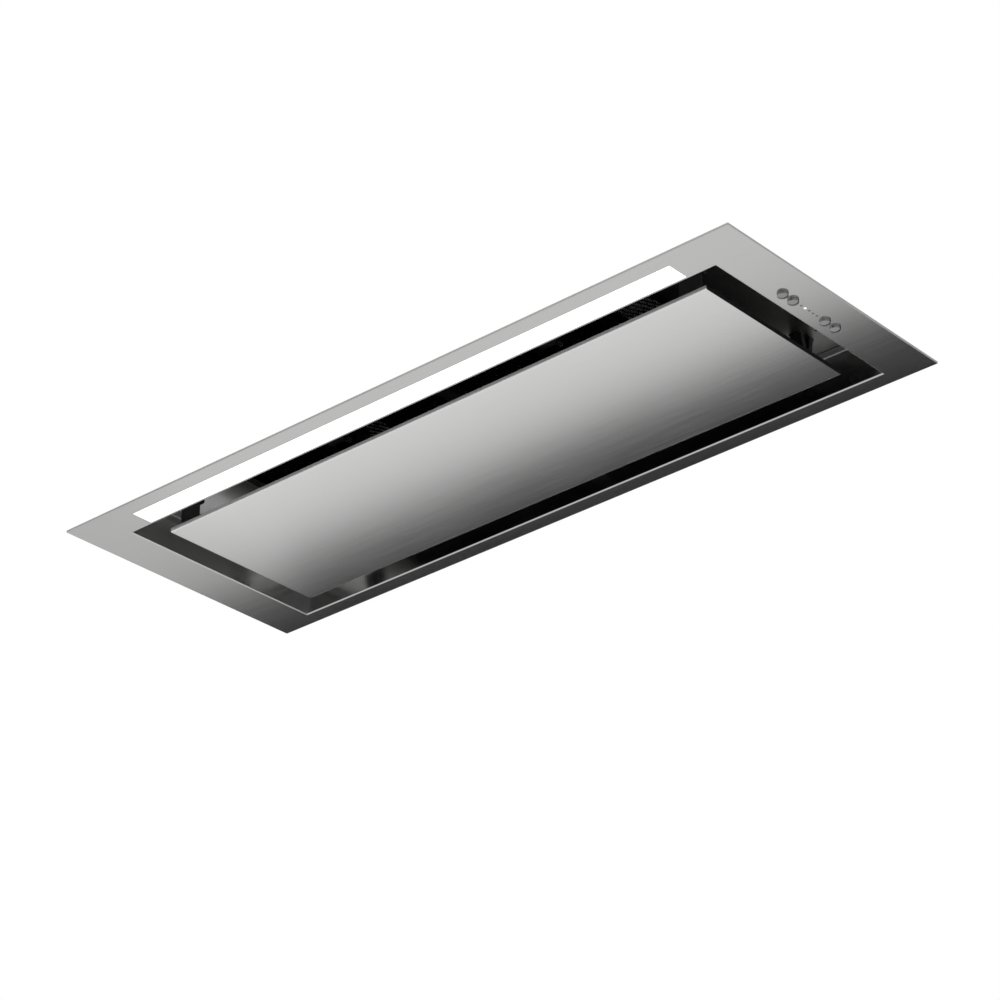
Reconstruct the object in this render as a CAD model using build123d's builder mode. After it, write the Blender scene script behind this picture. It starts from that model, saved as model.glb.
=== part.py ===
from build123d import *
import os
from math import cos, hypot, radians, sin, sqrt, tan

# A range hood that is built into the underside of a wall cabinet. Millimetres.
# A stainless fascia carries a lamp strip, push buttons and a recess with a hinged suction panel.
# Two grease filters lie above the panel, and a housing with a double-inlet blower stands on top.
# X runs along the hood, Y from the lamp side to the back, and Z up.
# The origin is the middle of the fascia, in the plane that meets the cabinet.

os.makedirs("parts", exist_ok=True)

# Clearances
moving_gap = 0.3
sliding_gap = 0.05
loose_gap = 0.5

# Fascia
fascia_length = 800.0
fascia_width = 300.0
fascia_sheet = 1.0
lip_height = 2.2
lip_round = 0.4
recess_end_band = 46.2
recess_front_band = 43.0
recess_back_band = 18.2
recess_depth = 39.0
opening_bend = 1.3
opening_bend_inside = opening_bend - fascia_sheet
ledge_bend = 2.0
ledge_width = 10.0

face_z = -lip_height
flange_top = face_z + fascia_sheet
recess_length = fascia_length - 2 * recess_end_band
recess_x = recess_length / 2
recess_front = -fascia_width / 2 + recess_front_band
recess_back = fascia_width / 2 - recess_back_band
recess_y = (recess_front + recess_back) / 2
recess_width = recess_back - recess_front
ledge_z = face_z + recess_depth
ledge_top = ledge_z + fascia_sheet

# Lamp
lamp_inset = 28.8
lamp_width = 23.0
lamp_edge = 3.0
lamp_gap = 0.1
diffuser_depth = 4.0
diffuser_round = 0.4
lamp_tray_sheet = 1.0
lamp_tray_height = 14.0
led_board_width = 18.0
led_board_end = 6.0
led_board_sheet = 1.6
led_pitch = 24.5
led_length = 3.5
led_width = 2.8
led_height = 1.0

lamp_length = recess_length - 2 * lamp_inset
lamp_y = recess_front - lamp_edge - lamp_width / 2
lamp_tray_top = flange_top + lamp_tray_height

# Buttons and indicators
control_offset = 15.2
control_y = 2.9
outer_button = 37.4
inner_button = 22.7
button_radius = 5.0
button_proud = 4.0
button_travel = 1.2
button_hole_gap = 0.2
button_edge = 0.5
button_crown = 1.5
collar_radius = 6.5
collar_height = 1.0
stem_radius = 2.5
lens_pitch = 5.65
lens_count = 5
lit_lens = 1
lens_radius = 1.2
lens_collar_radius = 1.8
lens_collar_height = 0.8
lens_proud = 0.1

control_x = recess_x + control_offset
crown_radius = (button_radius**2 + button_crown**2) / (2 * button_crown)
button_places = [-outer_button, -inner_button, inner_button, outer_button]
lens_places = [(i - (lens_count - 1) / 2) * lens_pitch for i in range(lens_count)]

# Button carrier, springs, switches and board
carrier_width = 23.0
carrier_end = 12.0
carrier_wall = 1.5
guide_sheet = 2.0
stem_above_guide = 1.0
switch_side = 6.0
switch_height = 3.3
switch_plunger_radius = 1.7
switch_plunger_height = 0.4
switch_touch = 0.1
control_board_sheet = 1.6
spring_wire = 0.5
spring_radius = 3.6
button_spring_turns = 4
button_spring_packed = 4.7

carrier_half = outer_button + carrier_end
collar_z = flange_top + moving_gap
guide_z = collar_z + collar_height + button_travel + button_spring_packed
guide_top = guide_z + guide_sheet
stem_top = guide_top + stem_above_guide
plunger_z = stem_top + button_travel + switch_touch
switch_z = plunger_z + switch_plunger_height
carrier_top = switch_z + switch_height

# Suction panel
panel_gap_end = 27.7
panel_gap_side = 23.3
panel_sheet = 0.8
panel_edge_height = 4.0
panel_bend = 1.4
panel_end_round = 0.4
panel_return = 8.0
panel_tray_sheet = 0.8
panel_tray_height = 9.2

panel_x = recess_x - panel_gap_end
panel_front = recess_front + panel_gap_side
panel_back = recess_back - panel_gap_side
panel_tray_top = face_z + panel_tray_height

# Hinges of the panel
hinge_inset = 21.1
hinge_width = 24.0
hinge_sheet = 1.5
eye_width = 9.2
eye_radius = 3.6
eye_gap = 0.4
hinge_pin_radius = 2.0
hinge_head = 1.2
pivot_inset = 8.7
pivot_height = 26.2
leaf_foot = 28.0
hanger_foot = 20.0

hinge_x = panel_x - hinge_inset
pivot_y = panel_front + pivot_inset
pivot_z = face_z + pivot_height

# Magnet catches of the panel
catch_end_inset = 26.1
catch_inset = 20.5
magnet_radius = 4.5
magnet_height = 6.0
strike_radius = 6.5
strike_sheet = 1.2
catch_depth = 12.0
catch_leg = 2.5
catch_spread = 7.0
catch_cup = 6.0
catch_cup_height = 6.0
catch_foot = 7.0
catch_foot_sheet = 1.5

catch_x = panel_x - catch_end_inset
catch_y = panel_back - catch_inset
strike_top = panel_tray_top + strike_sheet
magnet_z = strike_top + moving_gap

# Plate that carries the filters
suction_sheet = 1.0
filter_bar = 16.0
filter_opening_end = 101.8
filter_opening_front = 41.0
filter_opening_back = 27.8

suction_z = ledge_top
suction_top = suction_z + suction_sheet
filter_opening_length = (recess_length - filter_bar) / 2 - filter_opening_end
filter_opening_width = recess_width - filter_opening_front - filter_opening_back
filter_front = recess_front + filter_opening_front
filter_back = filter_front + filter_opening_width
filter_x = filter_bar / 2 + filter_opening_length / 2
filter_y = (filter_front + filter_back) / 2

# Grease filters
filter_gap = 1.0
filter_height = 9.0
filter_sheet = 0.8
filter_border = 8.0
filter_corner = 4.0
hook_spacing = 160.0
hook_width = 20.0
hook_sheet = 1.5
hook_reach = 4.5
pocket_length = 46.0
pocket_wall = 1.0
latch_length = 28.0
latch_width = 13.0
latch_lap = 2.0
latch_travel = 6.0
latch_gap = 0.4
tongue_length = 16.0
tongue_height = 2.8
tongue_reach = 5.0
grip_length = 20.0
grip_width = 4.0
grip_depth = 5.0
latch_spring_radius = 2.4
latch_spring_turns = 5
latch_spring_packed = 5.8

filter_length = filter_opening_length - 2 * filter_gap
filter_width = filter_opening_width - 2 * filter_gap
filter_z = suction_z
filter_top = filter_z + filter_height
filter_front_y = filter_front + filter_gap
filter_back_y = filter_back - filter_gap
latch_front = filter_front_y + filter_sheet + latch_gap
latch_back = latch_front + latch_width
pocket_back = latch_back + latch_travel + latch_spring_packed + pocket_wall
latch_bottom = filter_z + pocket_wall + latch_gap
latch_top = filter_top - pocket_wall - latch_gap
latch_spring_z = (latch_bottom + latch_top) / 2

# Lower housing
flange_overlap_end = 18.0
flange_overlap_side = 14.0
housing_height = 96.0
housing_sheet = 0.8
housing_bend = 2.0
base_flange = 6.0
fixing_spacing = 200.0
fixing_height = 40.0
fixing_radius = 2.5

housing_length = fascia_length - 2 * flange_overlap_end
housing_width = fascia_width - 2 * flange_overlap_side
housing_x = housing_length / 2
housing_y = housing_width / 2
housing_under = housing_height - housing_sheet

# Gasket
gasket_edge = 0.5
gasket_clear = 1.0

# Upper housing and its top plate
upper_length = 320.0
upper_inset = 10.0
upper_height = 140.0
upper_flange = 12.0
upper_opening_edge = 12.0
top_sheet = 0.8
top_rim = 12.0

upper_width = housing_width - 2 * upper_inset
upper_x = upper_length / 2
upper_y = upper_width / 2
upper_top = housing_height + upper_height
top_z = upper_top + top_sheet

# Blower
wheel_radius = 60.0
wheel_length = 100.0
wheel_count = 36
blade_sheet = 1.2
blade_depth = 11.0
blade_lean = 20.0
wheel_rim_width = 5.0
wheel_rim_sheet = 1.6
wheel_disc_sheet = 2.0
clinch_gap = 0.02
hub_radius = 12.0
hub_length = 24.0
scroll_length = 120.0
scroll_wall = 1.5
scroll_tongue_gap = 7.0
scroll_step = 10.0
scroll_outlet_inset = 20.0
inlet_gap = 10.0
inlet_ring_height = 4.0
scroll_flange = 8.0
scroll_flange_sheet = 1.5
blower_y = -30.0
blower_drop = 91.0

blower_z = upper_top - blower_drop
lean_cos = cos(radians(blade_lean))
lean_sin = sin(radians(blade_lean))
blade_tip_out = (blade_depth * lean_cos + blade_sheet * lean_sin) / 2
blade_tip_side = (blade_depth * lean_sin - blade_sheet * lean_cos) / 2
blade_tip_circle = wheel_radius - wheel_rim_sheet - clinch_gap
blade_circle = sqrt(blade_tip_circle**2 - blade_tip_side**2) - blade_tip_out
blade_inner_edge = hypot(blade_circle - blade_tip_out, blade_tip_side)
scroll_first = wheel_radius + scroll_tongue_gap + scroll_step / 2
scroll_right = blower_y + scroll_step / 2 + scroll_first + 2 * scroll_step
scroll_inlet = wheel_radius - inlet_gap
outlet_left = blower_y + scroll_outlet_inset
duct_y = (outlet_left + scroll_right) / 2

# Motor
motor_radius = 42.0
motor_start = 14.0
motor_length = 66.0
motor_wall = 1.5
motor_cap_length = 12.0
motor_edge = 3.0
shaft_radius = 4.0
shaft_short = 4.0
bearing_radius = 11.0
bearing_width = 7.0
bearing_seat = 3.0
rotor_radius = 24.0
rotor_length = 32.0
air_gap = 0.6
bracket_x = 66.0
bracket_sheet = 2.0
bracket_ring = 5.0
bracket_arm = 14.0
mount_count = 3
mount_circle_radius = 55.5
mount_radius = 5.5
mount_first_angle = 90.0

motor_end = motor_start + motor_length
shaft_start = -hub_length / 2
shaft_end = motor_end + motor_cap_length - motor_wall - shaft_short
rotor_x = (motor_start + motor_end) / 2

# Duct collar and its damper
duct_radius = 75.0
duct_wall = 1.8
duct_height = 54.0
collar_flange = 11.0
collar_flange_sheet = 1.8
damper_height = 26.0
damper_gap = 1.2
damper_sheet = 1.2
damper_pin_radius = 1.5
damper_eye_radius = 3.0
damper_eye_width = 16.0
damper_eye_count = 4
damper_eye_gap = 0.4
stop_height = 3.0
stop_reach = 4.0
stop_width = 8.0
stop_angle = 35.0

damper_z = top_z + damper_height
damper_radius = duct_radius - duct_wall - damper_gap
damper_inner = damper_eye_radius + damper_eye_gap

# Electronics
box_inset = 66.0
box_length = 58.0
box_width = 150.0
box_height = 40.0
box_wall = 2.0
lid_height = 3.0
lid_round = 1.0
board_post = 6.0
board_sheet = 1.6
board_gap = 2.0
transformer_length = 34.0
transformer_width = 30.0
transformer_height = 22.0
relay_count = 3
relay_side = 14.0
relay_pitch = 18.0
driver_length = 36.0
driver_width = 110.0
driver_height = 22.0
driver_edge = 2.0
gland_inset = 36.0
gland_radius = 10.0
gland_bore = 4.5
gland_hex = 13.5
gland_collar = 6.0
gland_below = 12.0
gland_above = 20.0
gland_nut = 5.0
gland_slope = 3.4

box_x = housing_x - box_inset
box_z = suction_top
driver_x = -box_x
gland_x = box_x
gland_y = housing_y - gland_inset

# Leads inside the housing
lead_radius = 2.0
lead_bend = 9.0
lead_low = 50.0
lead_side = 60.0
lead_wall_gap = 9.2
lead_lamp_y = -121.5
lead_motor_x = 86.0
lead_motor_y = -108.0
lead_control_y = 30.0
lead_box_offset = 14.0

lead_high = housing_under - lead_radius
lead_back_y = housing_y - housing_sheet - lead_wall_gap - lead_radius

# Screws
screw_radius = 2.0
screw_head_radius = 3.8
screw_head_height = 2.4
screw_length = 8.0
screw_gap = 0.05
upper_screw_x = 120.0
collar_screw_count = 4
collar_screw_angle = 45.0

# Side clips
clip_spacing = 120.0
clip_width = 22.0
clip_sheet = 0.8
clip_top = 84.0
clip_flat = 62.0
clip_knee = 24.0
clip_reach = 8.0
clip_toe = 8.0
clip_toe_reach = 2.0


def block(x_span, y_span, z_span, mode=Mode.ADD):
    """A rectangular block between two values of x, of y and of z."""
    middle = [(low + high) / 2 for low, high in (x_span, y_span, z_span)]
    size = [high - low for low, high in (x_span, y_span, z_span)]
    with Locations(tuple(middle)):
        Box(*size, mode=mode)


def rod(start, end, radius, mode=Mode.ADD):
    """A round rod from one point to another."""
    along = Vector(*end) - Vector(*start)
    with BuildSketch(Plane(origin=start, z_dir=along)) as section:
        Circle(radius)
    extrude(section.sketch, amount=along.length, mode=mode)


def coil(plane, radius, wire, turns, length):
    """A compression spring of half turns, each a half circle tilted by the climb.

    The plane's z is the spring's axis, and the wire lies within the length.
    """
    climb = (length - wire) / (2 * turns)
    bulge = hypot(radius, climb / 2)
    with BuildPart() as spring:
        with BuildLine(plane) as path:
            for i in range(2 * turns):
                side = 1 - 2 * (i % 2)
                low = wire / 2 + i * climb
                start = (side * radius, 0, low)
                middle = (0, side * bulge, low + climb / 2)
                end = (-side * radius, 0, low + climb)
                ThreePointArc(start, middle, end)
        with BuildSketch(Plane(origin=path.line @ 0, z_dir=path.line % 0)):
            Circle(wire / 2)
        sweep()
    return spring


def lead(points, bend, radius):
    """A round lead along straight runs, with an arc of one radius at each corner."""
    spots = [Vector(*point) for point in points]
    with BuildPart() as tube:
        with BuildLine() as path:
            start = spots[0]
            for before, corner, after in zip(spots, spots[1:], spots[2:]):
                arriving = (corner - before).normalized()
                leaving = (after - corner).normalized()
                inward = (leaving - arriving).normalized()
                half_turn = radians(arriving.get_angle(leaving)) / 2
                setback = bend * tan(half_turn)
                centre = corner + inward * (bend / cos(half_turn))
                Line(start, corner - arriving * setback)
                ThreePointArc(corner - arriving * setback, centre - inward * bend, corner + leaving * setback)
                start = corner + leaving * setback
            Line(start, spots[-1])
        with BuildSketch(Plane(origin=spots[0], z_dir=spots[1] - spots[0])):
            Circle(radius)
        sweep()
    return tube.part


def finish(name, piece):
    """Labels a finished piece and writes its STEP file."""
    piece.part.label = name
    export_step(piece.part, f"parts/{name}.step")


# Fascia: the flange with its turned lip, the recess walls and the ledge round the suction plate
with BuildPart() as fascia:
    block((-fascia_length / 2, fascia_length / 2), (-fascia_width / 2, fascia_width / 2), (face_z, 0))
    fillet(fascia.edges().group_by(Axis.Z)[0], lip_round)
    lip_x = fascia_length / 2 - fascia_sheet
    lip_y = fascia_width / 2 - fascia_sheet
    block((-lip_x, lip_x), (-lip_y, lip_y), (flange_top, 0), mode=Mode.SUBTRACT)
    wall_x = recess_x + fascia_sheet
    wall_y = (recess_front - fascia_sheet, recess_back + fascia_sheet)
    block((-wall_x, wall_x), wall_y, (face_z, ledge_top))
    foot_edges = fascia.edges().filter_by_position(Axis.Z, flange_top, flange_top)
    foot_edges = foot_edges.filter_by_position(Axis.X, -wall_x, wall_x)
    fillet(foot_edges.filter_by_position(Axis.Y, wall_y[0], wall_y[1]), opening_bend_inside)
    corner_edges = fascia.edges().group_by(Axis.Z)[-1]
    fillet(corner_edges, ledge_bend + fascia_sheet)
    block((-recess_x, recess_x), (recess_front, recess_back), (face_z, ledge_z), mode=Mode.SUBTRACT)
    inner_edges = fascia.edges().filter_by_position(Axis.Z, ledge_z, ledge_z)
    fillet(inner_edges, ledge_bend)
    ledge_x = recess_x - ledge_width
    ledge_y = (recess_front + ledge_width, recess_back - ledge_width)
    block((-ledge_x, ledge_x), ledge_y, (ledge_z, ledge_top), mode=Mode.SUBTRACT)
    mouth_edges = fascia.edges().group_by(Axis.Z)[0].filter_by_position(Axis.X, -recess_x, recess_x)
    fillet(mouth_edges.filter_by_position(Axis.Y, recess_front, recess_back), opening_bend)
    with BuildSketch(Plane.XY.offset(face_z)):
        with Locations((0, lamp_y)):
            Rectangle(lamp_length + 2 * lamp_gap, lamp_width + 2 * lamp_gap)
        for place in button_places:
            with Locations((control_x, control_y + place)):
                Circle(button_radius + button_hole_gap)
        for place in lens_places:
            with Locations((control_x, control_y + place)):
                Circle(lens_radius + sliding_gap)
    extrude(amount=fascia_sheet, mode=Mode.SUBTRACT)
finish("fascia", fascia)

# Foam gasket between the flange and the cabinet
with BuildPart() as seat_gasket:
    with BuildSketch(Plane.XY.offset(flange_top)):
        Rectangle(2 * (lip_x - gasket_edge), 2 * (lip_y - gasket_edge))
        inner_length = housing_length + 2 * (base_flange + gasket_clear)
        inner_width = housing_width + 2 * (base_flange + gasket_clear)
        Rectangle(inner_length, inner_width, mode=Mode.SUBTRACT)
    extrude(amount=-flange_top)
finish("seat_gasket", seat_gasket)

# Lamp diffuser, flush with the underside of the flange
with BuildPart() as lamp_diffuser:
    lamp_x = lamp_length / 2
    lamp_span = (lamp_y - lamp_width / 2, lamp_y + lamp_width / 2)
    block((-lamp_x, lamp_x), lamp_span, (face_z, face_z + diffuser_depth))
    fillet(lamp_diffuser.edges().group_by(Axis.Z)[0], diffuser_round)
finish("lamp_diffuser", lamp_diffuser)

# Lamp tray: a pressed tray that stands on the flange and closes the lamp from above
with BuildPart() as lamp_tray:
    tray_x = lamp_x + lamp_tray_sheet
    tray_span = (lamp_span[0] - lamp_tray_sheet, lamp_span[1] + lamp_tray_sheet)
    block((-tray_x, tray_x), tray_span, (flange_top, lamp_tray_top))
    fillet(lamp_tray.edges().group_by(Axis.Z)[-1], lamp_tray_sheet)
    lamp_tray_under = lamp_tray_top - lamp_tray_sheet
    block((-lamp_x, lamp_x), lamp_span, (flange_top, lamp_tray_under), mode=Mode.SUBTRACT)
finish("lamp_tray", lamp_tray)

# Board with the light-emitting chips, under the top of the tray
with BuildPart() as led_board:
    board_x = lamp_x - led_board_end
    led_board_z = lamp_tray_under - led_board_sheet
    board_span = (lamp_y - led_board_width / 2, lamp_y + led_board_width / 2)
    block((-board_x, board_x), board_span, (led_board_z, lamp_tray_under))
    led_count = int(2 * board_x / led_pitch)
    with Locations((0, lamp_y, led_board_z - led_height / 2)):
        with GridLocations(led_pitch, 1, led_count, 1):
            Box(led_length, led_width, led_height)
finish("led_board", led_board)

# Button carrier: a moulded frame with a guide plate for the stems and the light pipes
with BuildPart() as control_carrier:
    carrier_x = (control_x - carrier_width / 2, control_x + carrier_width / 2)
    carrier_y = (control_y - carrier_half, control_y + carrier_half)
    hollow_x = (carrier_x[0] + carrier_wall, carrier_x[1] - carrier_wall)
    hollow_y = (carrier_y[0] + carrier_wall, carrier_y[1] - carrier_wall)
    block(carrier_x, carrier_y, (flange_top, carrier_top))
    block(hollow_x, hollow_y, (flange_top, guide_z), mode=Mode.SUBTRACT)
    block(hollow_x, hollow_y, (guide_top, carrier_top), mode=Mode.SUBTRACT)
    with BuildSketch(Plane.XY.offset(guide_z)):
        for place in button_places:
            with Locations((control_x, control_y + place)):
                Circle(stem_radius + sliding_gap)
        for place in lens_places:
            with Locations((control_x, control_y + place)):
                Circle(lens_radius)
    extrude(amount=guide_sheet, mode=Mode.SUBTRACT)
finish("control_carrier", control_carrier)

# Control board on top of the carrier
with BuildPart() as control_board:
    block(carrier_x, carrier_y, (carrier_top, carrier_top + control_board_sheet))
finish("control_board", control_board)

# Push switches under the board, one over each stem
with BuildPart() as button_switches:
    for place in button_places:
        y = control_y + place
        half = switch_side / 2
        block((control_x - half, control_x + half), (y - half, y + half), (switch_z, carrier_top))
        rod((control_x, y, plunger_z), (control_x, y, switch_z), switch_plunger_radius)
finish("button_switches", button_switches)


def light_pipe(place):
    """A light pipe from the face of the flange to above the guide plate, with a seating collar."""
    y = control_y + place
    rod((control_x, y, face_z - lens_proud), (control_x, y, guide_top), lens_radius)
    rod((control_x, y, flange_top), (control_x, y, flange_top + lens_collar_height), lens_collar_radius)


# Indicator light pipes: the ones that are off, and the one that is lit
with BuildPart() as indicator_lenses:
    for i, place in enumerate(lens_places):
        if i != lit_lens:
            light_pipe(place)
finish("indicator_lenses", indicator_lenses)

with BuildPart() as indicator_lit:
    light_pipe(lens_places[lit_lens])
finish("indicator_lit", indicator_lit)

# Push buttons, each with its return spring
for number, place in enumerate(button_places, start=1):
    y = control_y + place
    with BuildPart() as button:
        cap_z = face_z - button_proud
        rod((control_x, y, cap_z), (control_x, y, collar_z), button_radius)
        with Locations((control_x, y, cap_z + crown_radius)):
            Sphere(crown_radius, mode=Mode.INTERSECT)
        rim = button.edges().filter_by(lambda edge: edge.is_closed).sort_by(Axis.Z)[0]
        fillet(rim, button_edge)
        rod((control_x, y, collar_z), (control_x, y, collar_z + collar_height), collar_radius)
        rod((control_x, y, collar_z), (control_x, y, stem_top), stem_radius)
    finish(f"button_{number}", button)
    spring_plane = Plane(origin=(control_x, y, collar_z + collar_height))
    spring_length = guide_z - collar_z - collar_height
    button_spring = coil(spring_plane, spring_radius, spring_wire, button_spring_turns, spring_length)
    finish(f"button_spring_{number}", button_spring)

# Outer skin of the suction panel, a folded tray
with BuildPart() as panel_skin:
    skin_top = face_z + panel_edge_height
    block((-panel_x, panel_x), (panel_front, panel_back), (face_z, skin_top))
    fillet(panel_skin.edges().group_by(Axis.Z)[0].filter_by(Axis.X), panel_bend)
    fillet(panel_skin.faces().group_by(Axis.Z)[0].edges().filter_by(Axis.Y), panel_end_round)
    inner_x = panel_x - panel_sheet
    inner_y = (panel_front + panel_sheet, panel_back - panel_sheet)
    skin_floor = face_z + panel_sheet
    block((-inner_x, inner_x), inner_y, (skin_floor, skin_top - panel_sheet), mode=Mode.SUBTRACT)
    bend_edges = panel_skin.edges().filter_by_position(Axis.Z, skin_floor, skin_floor)
    fillet(bend_edges.filter_by(Axis.X), panel_bend - panel_sheet)
    mouth_x = panel_x - panel_return
    mouth_y = (panel_front + panel_return, panel_back - panel_return)
    block((-mouth_x, mouth_x), mouth_y, (skin_top - panel_sheet, skin_top), mode=Mode.SUBTRACT)
finish("panel_skin", panel_skin)

# Stiffening tray inside the panel
with BuildPart() as panel_tray:
    block((-mouth_x, mouth_x), mouth_y, (skin_floor, panel_tray_top))
    fillet(panel_tray.edges().group_by(Axis.Z)[-1], panel_tray_sheet)
    core_x = mouth_x - panel_tray_sheet
    core_y = (mouth_y[0] + panel_tray_sheet, mouth_y[1] - panel_tray_sheet)
    core_z = (skin_floor, panel_tray_top - panel_tray_sheet)
    block((-core_x, core_x), core_y, core_z, mode=Mode.SUBTRACT)
finish("panel_tray", panel_tray)

# Hinge leaves on the panel: a foot, an upright that shows in the front gap, and an eye in its middle
with BuildPart() as hinge_leaves:
    for x in (-hinge_x, hinge_x):
        leaf_x = (x - hinge_width / 2, x + hinge_width / 2)
        eye_x = (x - eye_width / 2, x + eye_width / 2)
        upright_y = (pivot_y - eye_radius, pivot_y - eye_radius + hinge_sheet)
        leaf_foot_y = (upright_y[0], upright_y[0] + leaf_foot)
        block(leaf_x, leaf_foot_y, (panel_tray_top, panel_tray_top + hinge_sheet))
        notch_z = pivot_z - eye_radius - eye_gap
        block(leaf_x, upright_y, (panel_tray_top, notch_z))
        block(eye_x, upright_y, (notch_z, pivot_z))
        rod((eye_x[0], pivot_y, pivot_z), (eye_x[1], pivot_y, pivot_z), eye_radius)
        bore = hinge_pin_radius + sliding_gap
        rod((eye_x[0], pivot_y, pivot_z), (eye_x[1], pivot_y, pivot_z), bore, Mode.SUBTRACT)
finish("hinge_leaves", hinge_leaves)

# Hinge hangers under the suction plate, with an eye at each end
with BuildPart() as hinge_hangers:
    for x in (-hinge_x, hinge_x):
        leaf_x = (x - hinge_width / 2, x + hinge_width / 2)
        back_y = (pivot_y + eye_radius - hinge_sheet, pivot_y + eye_radius)
        foot_y = (back_y[1] - hanger_foot, back_y[1])
        block(leaf_x, foot_y, (suction_z - hinge_sheet, suction_z))
        clear_z = pivot_z + eye_radius + eye_gap
        block(leaf_x, back_y, (clear_z, suction_z))
        inner_ends = (x - eye_width / 2 - eye_gap, x + eye_width / 2 + eye_gap)
        for ends in ((leaf_x[0], inner_ends[0]), (inner_ends[1], leaf_x[1])):
            block(ends, back_y, (pivot_z, clear_z))
            rod((ends[0], pivot_y, pivot_z), (ends[1], pivot_y, pivot_z), eye_radius)
            rod((ends[0], pivot_y, pivot_z), (ends[1], pivot_y, pivot_z), hinge_pin_radius, Mode.SUBTRACT)
finish("hinge_hangers", hinge_hangers)

# Hinge pins, each with a head at its outer end
with BuildPart() as hinge_pins:
    for side in (-1, 1):
        near = side * (hinge_x - hinge_width / 2)
        far = side * (hinge_x + hinge_width / 2)
        rod((near, pivot_y, pivot_z), (far, pivot_y, pivot_z), hinge_pin_radius)
        rod((far, pivot_y, pivot_z), (far + side * hinge_head, pivot_y, pivot_z), eye_radius)
finish("hinge_pins", hinge_pins)

# Strike plates of the catches, on the panel's tray
with BuildPart() as strike_plates:
    for x in (-catch_x, catch_x):
        rod((x, catch_y, panel_tray_top), (x, catch_y, strike_top), strike_radius)
finish("strike_plates", strike_plates)

# Magnets of the catches
with BuildPart() as catch_magnets:
    for x in (-catch_x, catch_x):
        rod((x, catch_y, magnet_z), (x, catch_y, magnet_z + magnet_height), magnet_radius)
finish("catch_magnets", catch_magnets)

# Catch brackets: a cup over the magnet on two splayed legs, with a foot on the suction plate
with BuildPart() as catch_brackets:
    magnet_top = magnet_z + magnet_height
    cup_z = magnet_top - catch_cup_height / 2
    foot_z = suction_z - catch_foot_sheet
    for x in (-catch_x, catch_x):
        span = (x - catch_depth / 2, x + catch_depth / 2)
        cup_x = (x - catch_cup, x + catch_cup)
        cup_y = (catch_y - catch_cup, catch_y + catch_cup)
        block(cup_x, cup_y, (cup_z, magnet_top + catch_leg))
        rod((x, catch_y, cup_z), (x, catch_y, magnet_top), magnet_radius, Mode.SUBTRACT)
        for side in (-1, 1):
            with BuildSketch(Plane.YZ.offset(span[0])):
                with BuildLine():
                    low = catch_y + side * catch_leg
                    high = catch_y + side * catch_spread
                    Polyline(
                        (low - catch_leg, magnet_top + catch_leg / 2),
                        (low + catch_leg, magnet_top + catch_leg / 2),
                        (high + catch_leg, suction_z),
                        (high - catch_leg, suction_z),
                        close=True,
                    )
                make_face()
            extrude(amount=catch_depth)
            foot_y = (high - catch_foot / 2, high + catch_foot / 2)
            block(span, foot_y, (foot_z, suction_z))
finish("catch_brackets", catch_brackets)

# Suction plate: the ceiling of the recess, with an opening for each filter
with BuildPart() as suction_plate:
    with BuildSketch(Plane.XY.offset(suction_z)):
        with Locations((0, recess_y)):
            Rectangle(recess_length - 2 * ledge_bend, recess_width - 2 * ledge_bend)
        with Locations((-filter_x, filter_y), (filter_x, filter_y)):
            hole_corner = filter_corner + filter_gap
            RectangleRounded(filter_opening_length, filter_opening_width, hole_corner, mode=Mode.SUBTRACT)
    extrude(amount=suction_sheet)
finish("suction_plate", suction_plate)

# Layers of mesh inside both grease filters, cut away round the latch pockets
core_length = filter_length - 2 * filter_sheet
core_width = filter_width - 2 * filter_sheet
core_corner = filter_corner - filter_sheet
with BuildPart() as filter_meshes:
    with BuildSketch(Plane.XY.offset(filter_z + filter_sheet)):
        with Locations((-filter_x, filter_y), (filter_x, filter_y)):
            RectangleRounded(core_length, core_width, core_corner)
    extrude(amount=filter_height - 2 * filter_sheet)
    for x in (-filter_x, filter_x):
        pocket_x = (x - pocket_length / 2, x + pocket_length / 2)
        block(pocket_x, (filter_front_y, pocket_back), (filter_z, filter_top), mode=Mode.SUBTRACT)
finish("filter_meshes", filter_meshes)

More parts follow.
